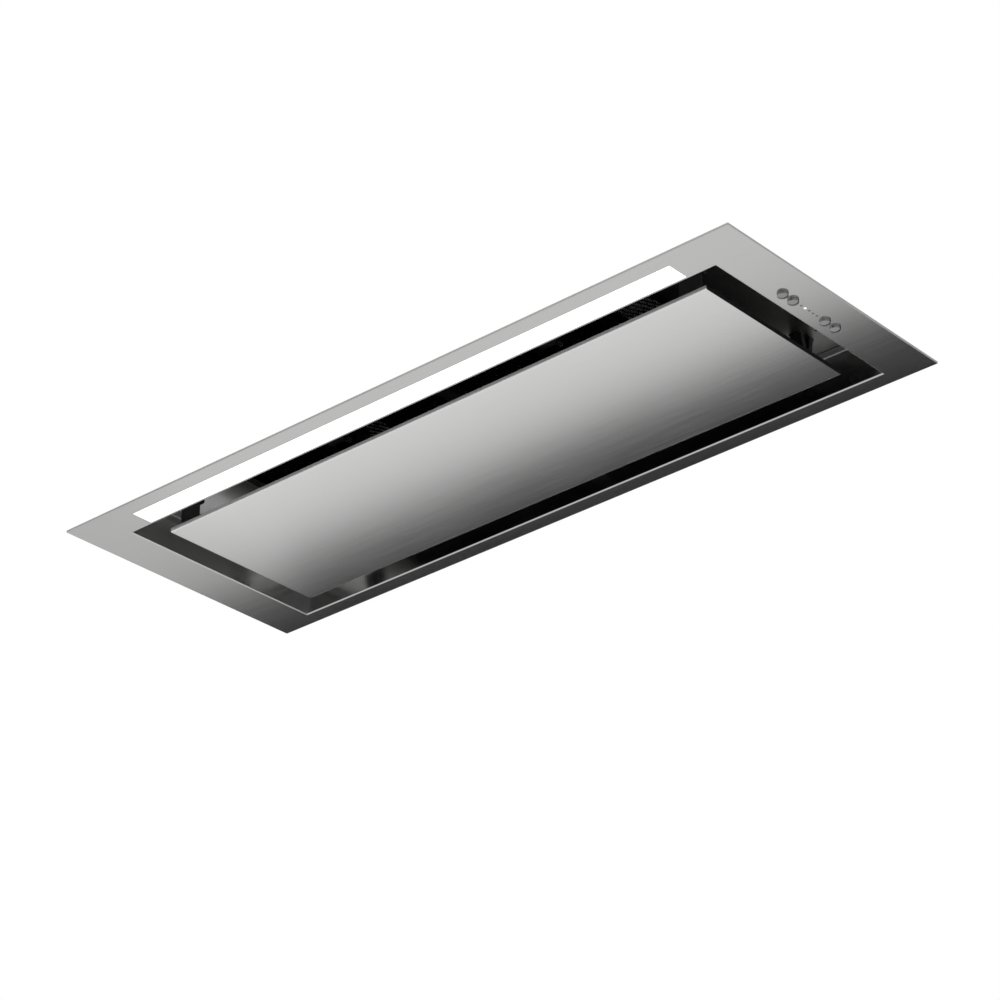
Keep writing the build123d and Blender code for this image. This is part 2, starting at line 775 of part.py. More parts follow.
# Frame, latch and latch spring of each grease filter
for side, x in (("left", -filter_x), ("right", filter_x)):
    pocket_x = (x - pocket_length / 2, x + pocket_length / 2)
    pocket_room_x = (pocket_x[0] + pocket_wall, pocket_x[1] - pocket_wall)
    pocket_room_y = (filter_front_y + filter_sheet, pocket_back - pocket_wall)

    with BuildPart() as filter_frame:
        with BuildSketch(Plane.XY.offset(filter_z)):
            with Locations((x, filter_y)):
                RectangleRounded(filter_length, filter_width, filter_corner)
        extrude(amount=filter_height)
        with BuildSketch(Plane.XY.offset(filter_z + filter_sheet)):
            with Locations((x, filter_y)):
                RectangleRounded(core_length, core_width, core_corner)
        extrude(amount=filter_height - 2 * filter_sheet, mode=Mode.SUBTRACT)
        with BuildSketch(Plane.XY.offset(filter_z)):
            with Locations((x, filter_y)):
                Rectangle(filter_length - 2 * filter_border, filter_width - 2 * filter_border)
        extrude(amount=filter_height, mode=Mode.SUBTRACT)
        block(pocket_x, (filter_front_y + filter_sheet, pocket_back), (filter_z, filter_top))
        pocket_room_z = (filter_z + pocket_wall, filter_top - pocket_wall)
        block(pocket_room_x, pocket_room_y, pocket_room_z, mode=Mode.SUBTRACT)
        slot_x = (x - latch_length / 2 + latch_lap, x + latch_length / 2 - latch_lap)
        block(slot_x, pocket_room_y, (filter_z, filter_z + pocket_wall), mode=Mode.SUBTRACT)
        tongue_room_x = (x - tongue_length / 2 - latch_gap, x + tongue_length / 2 + latch_gap)
        tongue_room_z = (latch_bottom - latch_gap, latch_bottom + tongue_height + latch_gap)
        wall_span = (filter_front_y, filter_front_y + filter_sheet)
        block(tongue_room_x, wall_span, tongue_room_z, mode=Mode.SUBTRACT)
        for hook in (-hook_spacing / 2, hook_spacing / 2):
            hook_x = (x + hook - hook_width / 2, x + hook + hook_width / 2)
            hook_y = (filter_back_y - filter_sheet, filter_back_y + hook_reach)
            block(hook_x, hook_y, (suction_top, suction_top + hook_sheet))
    finish(f"filter_frame_{side}", filter_frame)

    with BuildPart() as filter_latch:
        latch_x = (x - latch_length / 2, x + latch_length / 2)
        block(latch_x, (latch_front, latch_back), (latch_bottom, latch_top))
        tongue_y = (filter_front - tongue_reach, latch_front)
        tongue_x = (x - tongue_length / 2, x + tongue_length / 2)
        block(tongue_x, tongue_y, (latch_bottom, latch_bottom + tongue_height))
        grip_y = ((latch_front + latch_back - grip_width) / 2, (latch_front + latch_back + grip_width) / 2)
        grip_z = (filter_z - grip_depth, latch_bottom)
        block((x - grip_length / 2, x + grip_length / 2), grip_y, grip_z)
        grip_edges = filter_latch.edges().filter_by(Axis.Y).group_by(Axis.Z)[0]
        fillet(grip_edges, grip_width / 2)
    finish(f"filter_latch_{side}", filter_latch)

    latch_plane = Plane(origin=(x, latch_back, latch_spring_z), x_dir=(1, 0, 0), z_dir=(0, 1, 0))
    latch_spring_length = pocket_room_y[1] - latch_back
    latch_coil = (latch_spring_radius, spring_wire, latch_spring_turns, latch_spring_length)
    latch_spring = coil(latch_plane, *latch_coil)
    finish(f"latch_spring_{side}", latch_spring)

# Lower housing: a folded box on the flange, open below, with a round-cornered opening in its top
with BuildPart() as lower_housing:
    block((-housing_x, housing_x), (-housing_y, housing_y), (flange_top, housing_height))
    fillet(lower_housing.edges().filter_by(Axis.Z), housing_bend)
    fillet(lower_housing.edges().group_by(Axis.Z)[-1], housing_bend)
    room_x = housing_x - housing_sheet
    room_y = housing_y - housing_sheet
    block((-room_x, room_x), (-room_y, room_y), (flange_top, housing_under), mode=Mode.SUBTRACT)
    with BuildSketch(Plane.XY.offset(flange_top)):
        Rectangle(housing_length + 2 * base_flange, housing_width + 2 * base_flange)
        Rectangle(2 * room_x, 2 * room_y, mode=Mode.SUBTRACT)
    extrude(amount=housing_sheet)
    opening_x = upper_x - upper_opening_edge
    opening_y = upper_y - upper_opening_edge
    housing_room_z = (housing_under, housing_height)
    block((-opening_x, opening_x), (-opening_y, opening_y), housing_room_z, mode=Mode.SUBTRACT)
    rod((gland_x, gland_y, housing_under), (gland_x, gland_y, housing_height), gland_radius, Mode.SUBTRACT)
    for y in (-fixing_spacing / 2, fixing_spacing / 2):
        for x in (-housing_x, room_x):
            start = (x, y, fixing_height)
            rod(start, (x + housing_sheet, y, fixing_height), fixing_radius, Mode.SUBTRACT)
    for x in (-upper_screw_x, upper_screw_x):
        for y in (-upper_y - upper_flange / 2, upper_y + upper_flange / 2):
            start = (x, y, housing_under)
            rod(start, (x, y, housing_height), screw_radius + screw_gap, Mode.SUBTRACT)
finish("lower_housing", lower_housing)

# Side clips: bent spring strips on the short sides that hold the hood in its cut-out
with BuildPart() as side_clips:
    for side in (-1, 1):
        for y in (-clip_spacing / 2, clip_spacing / 2):
            wall = side * housing_x
            thick = side * clip_sheet
            with BuildSketch(Plane.XZ.offset(-y - clip_width / 2)):
                with BuildLine():
                    Polyline(
                        (wall, clip_top),
                        (wall, clip_flat),
                        (wall + side * clip_reach, clip_knee),
                        (wall + side * clip_toe_reach, clip_toe),
                        (wall + side * clip_toe_reach + thick, clip_toe),
                        (wall + side * clip_reach + thick, clip_knee),
                        (wall + thick, clip_flat),
                        (wall + thick, clip_top),
                        close=True,
                    )
                make_face()
            extrude(amount=clip_width)
finish("side_clips", side_clips)

# Upper housing round the blower, with a flange that is screwed to the lower housing
with BuildPart() as upper_housing:
    block((-upper_x, upper_x), (-upper_y, upper_y), (housing_height, upper_top))
    fillet(upper_housing.edges().filter_by(Axis.Z), housing_bend)
    upper_room_x = upper_x - housing_sheet
    upper_room_y = upper_y - housing_sheet
    upper_room_z = (housing_height, upper_top)
    block((-upper_room_x, upper_room_x), (-upper_room_y, upper_room_y), upper_room_z, mode=Mode.SUBTRACT)
    with BuildSketch(Plane.XY.offset(housing_height)):
        Rectangle(upper_length + 2 * upper_flange, upper_width)
        Rectangle(upper_length - 2 * housing_bend, upper_width + 2 * (upper_flange - housing_bend))
        Rectangle(2 * upper_room_x, 2 * upper_room_y, mode=Mode.SUBTRACT)
    extrude(amount=housing_sheet)
    for x in (-upper_screw_x, upper_screw_x):
        for y in (-upper_y - upper_flange / 2, upper_y + upper_flange / 2):
            start = (x, y, housing_height)
            rod(start, (x, y, housing_height + housing_sheet), screw_radius + screw_gap, Mode.SUBTRACT)
finish("upper_housing", upper_housing)

# Top plate with a turned rim and the blower's outlet
with BuildPart() as top_plate:
    rim_x = upper_x + top_sheet
    rim_y = upper_y + top_sheet
    block((-rim_x, rim_x), (-rim_y, rim_y), (upper_top - top_rim, top_z))
    fillet(top_plate.edges().filter_by(Axis.Z), housing_bend + top_sheet)
    fillet(top_plate.edges().group_by(Axis.Z)[-1], top_sheet)
    with BuildSketch(Plane.XY.offset(upper_top - top_rim)):
        RectangleRounded(upper_length, upper_width, housing_bend)
    extrude(amount=top_rim, mode=Mode.SUBTRACT)
    outlet_x = scroll_length / 2 - scroll_wall
    outlet_y = (outlet_left + scroll_wall, scroll_right - scroll_wall)
    block((-outlet_x, outlet_x), outlet_y, (upper_top, top_z), mode=Mode.SUBTRACT)
    collar_circle = duct_radius + collar_flange / 2
    with Locations((0, duct_y, upper_top)):
        with PolarLocations(collar_circle, collar_screw_count, start_angle=collar_screw_angle):
            Cylinder(screw_radius + screw_gap, screw_length, mode=Mode.SUBTRACT)
finish("top_plate", top_plate)


def scroll_outline(inset):
    """The blower's outline in y and z: three quarter arcs that grow by one step, then the outlet."""
    half = scroll_step / 2
    first = scroll_first - inset
    second = first + scroll_step
    third = second + scroll_step
    top = (blower_y - half, blower_z - half + first)
    left = (blower_y - half - first, blower_z - half)
    bottom = (blower_y + half, blower_z - half - second)
    right = (blower_y + half + third, blower_z + half)
    nose = (outlet_left + inset, top[1])
    Line(nose, top)
    RadiusArc(top, left, -first)
    RadiusArc(left, bottom, -second)
    RadiusArc(bottom, right, -third)
    Line(right, (right[0], upper_top))
    Line((right[0], upper_top), (nose[0], upper_top))
    Line((nose[0], upper_top), nose)


# Blower scroll: the wrapped strip between the side plates, with a flange at each side of its outlet
with BuildPart() as scroll_wrap:
    wrap_x = scroll_length / 2 - scroll_wall
    flange_z = (upper_top - scroll_flange_sheet, upper_top)
    with BuildSketch(Plane.YZ.offset(-wrap_x)):
        with BuildLine():
            scroll_outline(0)
        make_face()
    extrude(amount=2 * wrap_x)
    with BuildSketch(Plane.YZ.offset(-wrap_x)):
        with BuildLine():
            scroll_outline(scroll_wall)
        make_face()
    extrude(amount=2 * wrap_x, mode=Mode.SUBTRACT)
    for corner in (outlet_left - scroll_flange, scroll_right):
        block((-wrap_x, wrap_x), (corner, corner + scroll_flange), flange_z)
finish("scroll_wrap", scroll_wrap)

# Side plates of the scroll, each with an inlet ring and a flange at its outlet
with BuildPart() as scroll_sides:
    for sign in (-1, 1):
        outer_face = sign * scroll_length / 2
        with BuildSketch(Plane.YZ.offset(outer_face)):
            with BuildLine():
                scroll_outline(0)
            make_face()
        extrude(amount=-sign * scroll_wall)
        inlet_plane = Plane(origin=(outer_face, blower_y, blower_z), x_dir=(0, 1, 0), z_dir=(1, 0, 0))
        with BuildSketch(inlet_plane):
            Circle(scroll_inlet + scroll_wall)
        extrude(amount=-sign * inlet_ring_height)
        with BuildSketch(inlet_plane):
            Circle(scroll_inlet)
        extrude(amount=-sign * inlet_ring_height, mode=Mode.SUBTRACT)
        flange_x = sorted((outer_face, outer_face + sign * scroll_flange))
        block(flange_x, (outlet_left, scroll_right), flange_z)
finish("scroll_sides", scroll_sides)

# Double-inlet wheel: a middle disc on its hub and a rim round each end
with BuildPart() as impeller:
    disc_half = wheel_disc_sheet / 2
    hub_half = hub_length / 2
    rod((-disc_half, blower_y, blower_z), (disc_half, blower_y, blower_z), blade_inner_edge - clinch_gap)
    rod((-hub_half, blower_y, blower_z), (hub_half, blower_y, blower_z), hub_radius)
    rod((-hub_half, blower_y, blower_z), (hub_half, blower_y, blower_z), shaft_radius, Mode.SUBTRACT)
    for start in (-wheel_length / 2, wheel_length / 2 - wheel_rim_width):
        with BuildSketch(Plane(origin=(start, blower_y, blower_z), x_dir=(0, 1, 0), z_dir=(1, 0, 0))):
            Circle(wheel_radius)
            Circle(wheel_radius - wheel_rim_sheet, mode=Mode.SUBTRACT)
        extrude(amount=wheel_rim_width)
finish("impeller", impeller)

# Forward-leaning blades of the wheel, each one strip clinched to the disc and the rims
with BuildPart() as impeller_blades:
    blade_plane = Plane(origin=(-wheel_length / 2, blower_y, blower_z), x_dir=(0, 1, 0), z_dir=(1, 0, 0))
    with BuildSketch(blade_plane):
        with PolarLocations(blade_circle, wheel_count):
            Rectangle(blade_depth, blade_sheet, rotation=blade_lean)
    extrude(amount=wheel_length)
finish("impeller_blades", impeller_blades)


def motor_ring(start, end, outer, inner, mode=Mode.ADD):
    """A ring or disc about the motor's axis, from one x to another."""
    with BuildSketch(Plane(origin=(start, blower_y, blower_z), x_dir=(0, 1, 0), z_dir=(1, 0, 0))) as ring:
        Circle(outer)
        if inner > 0:
            Circle(inner, mode=Mode.SUBTRACT)
    extrude(ring.sketch, amount=end - start, mode=mode)


# Motor: can, cap, stator, rotor on its shaft, and two bearings
bearing_room = bearing_width + bearing_seat
with BuildPart() as motor_can:
    motor_ring(motor_start, motor_end, motor_radius, 0)
    fillet(motor_can.edges().group_by(Axis.X)[0], motor_edge)
    motor_ring(motor_start + motor_wall, motor_end, motor_radius - motor_wall, 0, Mode.SUBTRACT)
    can_seat_end = motor_start + motor_wall + bearing_room
    motor_ring(motor_start + motor_wall, can_seat_end, bearing_radius + motor_wall, 0)
    motor_ring(motor_start + motor_wall + bearing_seat, can_seat_end, bearing_radius, 0, Mode.SUBTRACT)
    motor_ring(motor_start, can_seat_end, shaft_radius + loose_gap, 0, Mode.SUBTRACT)
finish("motor_can", motor_can)

with BuildPart() as motor_cap:
    cap_end = motor_end + motor_cap_length
    motor_ring(motor_end, cap_end, motor_radius, 0)
    fillet(motor_cap.edges().group_by(Axis.X)[-1], motor_edge)
    motor_ring(motor_end, cap_end - motor_wall, motor_radius - motor_wall, 0, Mode.SUBTRACT)
    cap_seat_start = cap_end - motor_wall - bearing_room
    motor_ring(cap_seat_start, cap_end - motor_wall, bearing_radius + motor_wall, bearing_radius)
finish("motor_cap", motor_cap)

with BuildPart() as motor_bearings:
    motor_ring(can_seat_end - bearing_width, can_seat_end, bearing_radius, shaft_radius + sliding_gap)
    motor_ring(cap_seat_start, cap_seat_start + bearing_width, bearing_radius, shaft_radius + sliding_gap)
finish("motor_bearings", motor_bearings)

with BuildPart() as motor_stator:
    stator_start = rotor_x - rotor_length / 2
    motor_ring(stator_start, stator_start + rotor_length, motor_radius - motor_wall, rotor_radius + air_gap)
finish("motor_stator", motor_stator)

with BuildPart() as motor_rotor:
    motor_ring(shaft_start, shaft_end, shaft_radius, 0)
    motor_ring(stator_start, stator_start + rotor_length, rotor_radius, 0)
finish("motor_rotor", motor_rotor)

# Motor bracket: a ring round the can with three arms, on rubber mounts
with BuildPart() as motor_bracket:
    motor_ring(bracket_x, bracket_x + bracket_sheet, motor_radius + bracket_ring, 0)
    with BuildSketch(Plane(origin=(bracket_x, blower_y, blower_z), x_dir=(0, 1, 0), z_dir=(1, 0, 0))):
        arm_length = mount_circle_radius + bracket_arm / 2
        with PolarLocations(arm_length / 2, mount_count, start_angle=mount_first_angle):
            Rectangle(arm_length, bracket_arm)
    extrude(amount=bracket_sheet)
    motor_ring(bracket_x, bracket_x + bracket_sheet, motor_radius, 0, Mode.SUBTRACT)
finish("motor_bracket", motor_bracket)

with BuildPart() as motor_mounts:
    side_face = scroll_length / 2
    with BuildSketch(Plane(origin=(side_face, blower_y, blower_z), x_dir=(0, 1, 0), z_dir=(1, 0, 0))):
        with PolarLocations(mount_circle_radius, mount_count, start_angle=mount_first_angle):
            Circle(mount_radius)
    extrude(amount=bracket_x - side_face)
finish("motor_mounts", motor_mounts)

# Duct collar with stops for the damper flaps
with BuildPart() as duct_collar:
    duct_centre = (0, duct_y, top_z)
    with BuildSketch(Plane(origin=duct_centre)):
        Circle(duct_radius + collar_flange)
    extrude(amount=collar_flange_sheet)
    with BuildSketch(Plane(origin=duct_centre)):
        Circle(duct_radius)
    extrude(amount=duct_height)
    chamfer(duct_collar.edges().group_by(Axis.Z)[-1], duct_wall / 2)
    duct_bore = duct_radius - duct_wall
    with BuildSketch(Plane(origin=duct_centre)):
        Circle(duct_bore)
    extrude(amount=duct_height, mode=Mode.SUBTRACT)
    with BuildSketch(Plane(origin=duct_centre)):
        with PolarLocations(collar_circle, collar_screw_count, start_angle=collar_screw_angle):
            Circle(screw_radius + screw_gap)
    extrude(amount=collar_flange_sheet, mode=Mode.SUBTRACT)
    stop_z = damper_z - damper_sheet / 2 - moving_gap - stop_height
    with BuildSketch(Plane((0, duct_y, stop_z))):
        for angle in (stop_angle, -stop_angle, 180 - stop_angle, 180 + stop_angle):
            with PolarLocations(duct_bore - stop_reach / 2, 1, start_angle=angle):
                Rectangle(stop_reach + duct_wall, stop_width)
    extrude(amount=stop_height)
    pin_reach = duct_radius - duct_wall / 2
    pin_start = (0, duct_y - pin_reach, damper_z)
    rod(pin_start, (0, duct_y + pin_reach, damper_z), damper_pin_radius, Mode.SUBTRACT)
finish("duct_collar", duct_collar)

with BuildPart() as damper_pin:
    rod(pin_start, (0, duct_y + pin_reach, damper_z), damper_pin_radius)
finish("damper_pin", damper_pin)

# Damper flaps: half discs with alternate eyes on the pin
for side, sign in (("left", -1), ("right", 1)):
    with BuildPart() as damper_flap:
        with BuildSketch(Plane((0, duct_y, damper_z - damper_sheet / 2))):
            Circle(damper_radius)
            with Locations((-sign * (damper_radius - damper_inner), 0)):
                Rectangle(2 * damper_radius, 2 * damper_radius, mode=Mode.SUBTRACT)
        extrude(amount=damper_sheet)
        for i in range(damper_eye_count):
            if (i % 2 == 0) == (sign > 0):
                middle = duct_y + (i - (damper_eye_count - 1) / 2) * (damper_eye_width + damper_eye_gap)
                eye = (middle - damper_eye_width / 2, middle + damper_eye_width / 2)
                web_x = sorted((0, sign * 2 * damper_eye_radius))
                block(web_x, eye, (damper_z - damper_sheet / 2, damper_z + damper_sheet / 2))
                rod((0, eye[0], damper_z), (0, eye[1], damper_z), damper_eye_radius)
                bore = damper_pin_radius + sliding_gap
                rod((0, eye[0], damper_z), (0, eye[1], damper_z), bore, Mode.SUBTRACT)
    finish(f"damper_flap_{side}", damper_flap)

# Electronics box with its lid and power board, at the right end above the suction plate
with BuildPart() as electronics_box:
    box_span_x = (box_x - box_length / 2, box_x + box_length / 2)
    box_span_y = (-box_width / 2, box_width / 2)
    box_top = box_z + box_height
    block(box_span_x, box_span_y, (box_z, box_top))
    fillet(electronics_box.edges().filter_by(Axis.Z), box_wall)
    box_room_x = (box_span_x[0] + box_wall, box_span_x[1] - box_wall)
    box_room_y = (box_span_y[0] + box_wall, box_span_y[1] - box_wall)
    block(box_room_x, box_room_y, (box_z + box_wall, box_top), mode=Mode.SUBTRACT)
    post_x = box_length / 2 - box_wall - board_post / 2
    post_y = box_width / 2 - box_wall - board_post / 2
    with Locations((box_x, 0, box_z + box_wall + board_post / 2)):
        with GridLocations(2 * post_x, 2 * post_y, 2, 2):
            Box(board_post, board_post, board_post)
finish("electronics_box", electronics_box)

with BuildPart() as electronics_lid:
    block(box_span_x, box_span_y, (box_top, box_top + lid_height))
    fillet(electronics_lid.edges().filter_by(Axis.Z), box_wall)
    fillet(electronics_lid.edges().group_by(Axis.Z)[-1], lid_round)
finish("electronics_lid", electronics_lid)

with BuildPart() as power_board:
    board_z = box_z + box_wall + board_post
    board_top = board_z + board_sheet
    board_span_x = (box_room_x[0] + board_gap, box_room_x[1] - board_gap)
    board_span_y = (box_room_y[0] + board_gap, box_room_y[1] - board_gap)
    block(board_span_x, board_span_y, (board_z, board_top))
    transformer_y = (board_span_y[0] + board_gap, board_span_y[0] + board_gap + transformer_width)
    transformer_x = (box_x - transformer_length / 2, box_x + transformer_length / 2)
    block(transformer_x, transformer_y, (board_top, board_top + transformer_height))
    for i in range(relay_count):
        relay_start = transformer_y[1] + board_post + i * relay_pitch
        relay_x = (box_x - relay_side / 2, box_x + relay_side / 2)
        block(relay_x, (relay_start, relay_start + relay_side), (board_top, board_top + relay_side))
finish("power_board", power_board)

# Lamp driver at the left end
with BuildPart() as led_driver:
    driver_span = (driver_x - driver_length / 2, driver_x + driver_length / 2)
    block(driver_span, (-driver_width / 2, driver_width / 2), (suction_top, suction_top + driver_height))
    fillet(led_driver.edges().filter_by(Axis.Z), driver_edge)
    fillet(led_driver.edges().group_by(Axis.Z)[-1], driver_edge)
finish("led_driver", led_driver)

# Cable gland in the top of the lower housing
with BuildPart() as cable_gland:
    gland_low = (gland_x, gland_y, housing_under - gland_below)
    gland_high = (gland_x, gland_y, housing_height + gland_above)
    rod(gland_low, gland_high, gland_radius)
    with BuildSketch(Plane((gland_x, gland_y, housing_height))):
        RegularPolygon(gland_hex, 6)
    extrude(amount=gland_collar)
    with BuildSketch(Plane((gland_x, gland_y, housing_under - gland_nut))):
        RegularPolygon(gland_hex, 6)
    extrude(amount=gland_nut)
    with BuildSketch(Plane((gland_x, gland_y, housing_height + gland_collar + loose_gap))):
        Circle(gland_hex - loose_gap)
    extrude(amount=gland_above - gland_collar - loose_gap)
    chamfer(cable_gland.edges().group_by(Axis.Z)[-1], gland_slope)
    rod(gland_low, gland_high, gland_bore, Mode.SUBTRACT)
finish("cable_gland", cable_gland)

# Leads: controls to box, box to motor, box to lamp driver, lamp driver to lamp
with BuildPart() as wiring:
    control_start = (control_x, lead_control_y, carrier_top + control_board_sheet)
    control_turn = (control_x, lead_control_y, lead_side)
    control_end = (box_span_x[1], lead_control_y, lead_side)
    add(lead([control_start, control_turn, control_end], lead_bend, lead_radius))
    motor_front = blower_y - motor_radius
    motor_lead = [
        (box_x, box_span_y[0], lead_side),
        (box_x, lead_motor_y, lead_side),
        (box_x, lead_motor_y, lead_high),
        (lead_motor_x, lead_motor_y, lead_high),
        (lead_motor_x, lead_motor_y, blower_z),
        (lead_motor_x, motor_front, blower_z),
    ]
    add(lead(motor_lead, lead_bend, lead_radius))
    driver_lead = [
        (box_x + lead_box_offset, box_span_y[1], lead_side),
        (box_x + lead_box_offset, lead_back_y, lead_side),
        (box_x + lead_box_offset, lead_back_y, lead_high),
        (driver_x, lead_back_y, lead_high),
        (driver_x, lead_back_y, lead_low),
        (driver_x, driver_width / 2, lead_low),
    ]
    add(lead(driver_lead, lead_bend, lead_radius))
    lamp_lead = [
        (driver_x, -driver_width / 2, lead_low),
        (driver_x, lead_lamp_y, lead_low),
        (driver_x, lead_lamp_y, lamp_tray_top),
    ]
    add(lead(lamp_lead, lead_bend, lead_radius))
finish("wiring", wiring)


def screw(x, y, seat):
    """A pan-head screw whose head rests on a level seat."""
    rod((x, y, seat), (x, y, seat - screw_length), screw_radius)
    rod((x, y, seat), (x, y, seat + screw_head_height), screw_head_radius)


# Screws of the upper housing and of the duct collar
with BuildPart() as housing_screws:
    for x in (-upper_screw_x, upper_screw_x):
        for y in (-upper_y - upper_flange / 2, upper_y + upper_flange / 2):
            screw(x, y, housing_height + housing_sheet)
    for i in range(collar_screw_count):
        angle = radians(collar_screw_angle + i * 360 / collar_screw_count)
        screw(collar_circle * cos(angle), duct_y + collar_circle * sin(angle), top_z + collar_flange_sheet)
    head_tops = (housing_height + housing_sheet, top_z + collar_flange_sheet)
    for seat in head_tops:
        head_top = seat + screw_head_height
        rims = housing_screws.edges().filter_by_position(Axis.Z, head_top, head_top)
        fillet(rims.filter_by(GeomType.CIRCLE), screw_head_height / 2)
finish("housing_screws", housing_screws)
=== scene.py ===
import math

import bmesh
import bpy
import numpy as np
from mathutils import Matrix, Vector


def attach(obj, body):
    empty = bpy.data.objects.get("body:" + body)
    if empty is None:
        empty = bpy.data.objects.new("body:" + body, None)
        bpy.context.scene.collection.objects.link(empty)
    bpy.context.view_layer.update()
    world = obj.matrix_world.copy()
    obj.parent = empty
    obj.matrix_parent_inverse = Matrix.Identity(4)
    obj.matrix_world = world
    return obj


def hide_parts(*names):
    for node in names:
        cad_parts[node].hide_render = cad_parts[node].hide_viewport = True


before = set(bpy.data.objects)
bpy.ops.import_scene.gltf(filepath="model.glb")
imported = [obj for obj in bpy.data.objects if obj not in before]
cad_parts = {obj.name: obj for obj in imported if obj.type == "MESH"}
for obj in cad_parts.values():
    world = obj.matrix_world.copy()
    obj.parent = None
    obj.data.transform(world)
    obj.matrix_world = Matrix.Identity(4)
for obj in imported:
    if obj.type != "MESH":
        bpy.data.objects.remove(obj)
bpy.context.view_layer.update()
print("frame loaded,", len(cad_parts), "nodes")

# Camera: place in metres, angles in degrees, focal length in pixels of a 1000-pixel picture
cameraSetup = {
    "place": (1.7237, -1.9607, -1.4596),
    "azimuth": 40.989,
    "elevation": -28.323,
    "roll": 0.668,
    "focalPixels": 3259.5,
    "pictureSide": 1000,
    "sensor": 36.0,
    "clip": (0.05, 60),
}


def makeCamera(setup):
    azimuth, elevation, roll = (math.radians(setup[key]) for key in ("azimuth", "elevation", "roll"))
    back = Vector((math.sin(azimuth) * math.cos(elevation), -math.cos(azimuth) * math.cos(elevation),
                   math.sin(elevation)))
    across = (-back).cross(Vector((0, 0, 1))).normalized()
    upward = across.cross(-back)
    turnedAcross = across * math.cos(roll) - upward * math.sin(roll)
    turnedUp = across * math.sin(roll) + upward * math.cos(roll)
    data = bpy.data.cameras.new("camera")
    data.sensor_width = setup["sensor"]
    data.lens = setup["focalPixels"] * setup["sensor"] / setup["pictureSide"]
    data.clip_start, data.clip_end = setup["clip"]
    camera = bpy.data.objects.new("camera", data)
    bpy.context.scene.collection.objects.link(camera)
    placed = Matrix((turnedAcross, turnedUp, back)).transposed().to_4x4()
    placed.translation = Vector(setup["place"])
    camera.matrix_world = placed
    bpy.context.scene.camera = camera


makeCamera(cameraSetup)
bpy.context.scene.view_settings.view_transform = "Standard"
print("camera made")


# Small helpers for node materials
def addNode(tree, kind, inputs=None, **settings):
    made = tree.nodes.new(kind)
    for key, value in settings.items():
        setattr(made, key, value)
    for key, value in (inputs or {}).items():
        made.inputs[key].default_value = value
    return made


def newMaterial(name, setup, metallic, **sockets):
    material = bpy.data.materials.new(name)
    material.use_nodes = True
    shader = material.node_tree.nodes["Principled BSDF"]
    shader.inputs["Base Color"].default_value = (*setup["colour"], 1)
    shader.inputs["Metallic"].default_value = metallic
    shader.inputs["Roughness"].default_value = setup["roughness"]
    for key, value in sockets.items():
        shader.inputs[key.replace("_", " ")].default_value = value
    return material, material.node_tree, shader


def objectPattern(tree, kind, stretch, **inputs):
    # a texture node on Object coordinates, stretched per metre along x, y and z
    coords = addNode(tree, "ShaderNodeTexCoord")
    mapping = addNode(tree, "ShaderNodeMapping", {"Scale": stretch})
    texture = addNode(tree, kind, {"Scale": 1.0, **inputs})
    tree.links.new(coords.outputs["Object"], mapping.inputs["Vector"])
    tree.links.new(mapping.outputs["Vector"], texture.inputs["Vector"])
    return texture


def objectPlace(tree):
    # the x, y and z of the point in metres
    coords = addNode(tree, "ShaderNodeTexCoord")
    split = addNode(tree, "ShaderNodeSeparateXYZ")
    tree.links.new(coords.outputs["Object"], split.inputs[0])
    return split.outputs


def spread(tree, source, low, high, fromLow=0.0, fromHigh=1.0):
    # carries a factor linearly to the span from low to high
    made = addNode(tree, "ShaderNodeMapRange", {"From Min": fromLow, "From Max": fromHigh,
                                                "To Min": low, "To Max": high})
    tree.links.new(source, made.inputs["Value"])
    return made.outputs["Result"]


def around(tree, source, middle, reach, fromLow=0.0, fromHigh=1.0):
    # carries a factor to the span that reaches equally far to both sides of the middle
    return spread(tree, source, middle - reach, middle + reach, fromLow, fromHigh)


def combine(tree, operation, first, second):
    made = addNode(tree, "ShaderNodeMath", operation=operation)
    for socket, value in zip(made.inputs, (first, second)):
        if isinstance(value, (int, float)):
            socket.default_value = value
        else:
            tree.links.new(value, socket)
    return made.outputs["Value"]


def weighed(tree, first, second, share):
    # the first factor by its share, and the second by the rest
    return combine(tree, "ADD", combine(tree, "MULTIPLY", first, share),
                   combine(tree, "MULTIPLY", second, 1 - share))


def tint(tree, source, dark, light):
    # carries a factor to a colour between dark and light
    made = addNode(tree, "ShaderNodeMix", data_type="RGBA")
    made.inputs[6].default_value = (*dark, 1)
    made.inputs[7].default_value = (*light, 1)
    tree.links.new(source, made.inputs[0])
    return made.outputs[2]


def towards(tree, factor, source, colour):
    # a linked colour that goes over to a fixed one as the factor rises
    made = addNode(tree, "ShaderNodeMix", data_type="RGBA")
    made.inputs[7].default_value = (*colour, 1)
    tree.links.new(factor, made.inputs[0])
    tree.links.new(source, made.inputs[6])
    return made.outputs[2]


def toned(tree, source, colour, dark, light):
    # carries a factor to a colour times the dark and the light factor, kept below white
    ends = [tuple(min(1.0, channel * factor) for channel in colour) for factor in (dark, light)]
    return tint(tree, source, *ends)


def addBump(tree, shader, heights, distance, strength=1.0):
    bump = addNode(tree, "ShaderNodeBump", {"Distance": distance, "Strength": strength})
    tree.links.new(heights, bump.inputs["Height"])
    tree.links.new(bump.outputs["Normal"], shader.inputs["Normal"])


noiseSpan = (0.3, 0.7)  # nearly all of a noise texture's values lie in it


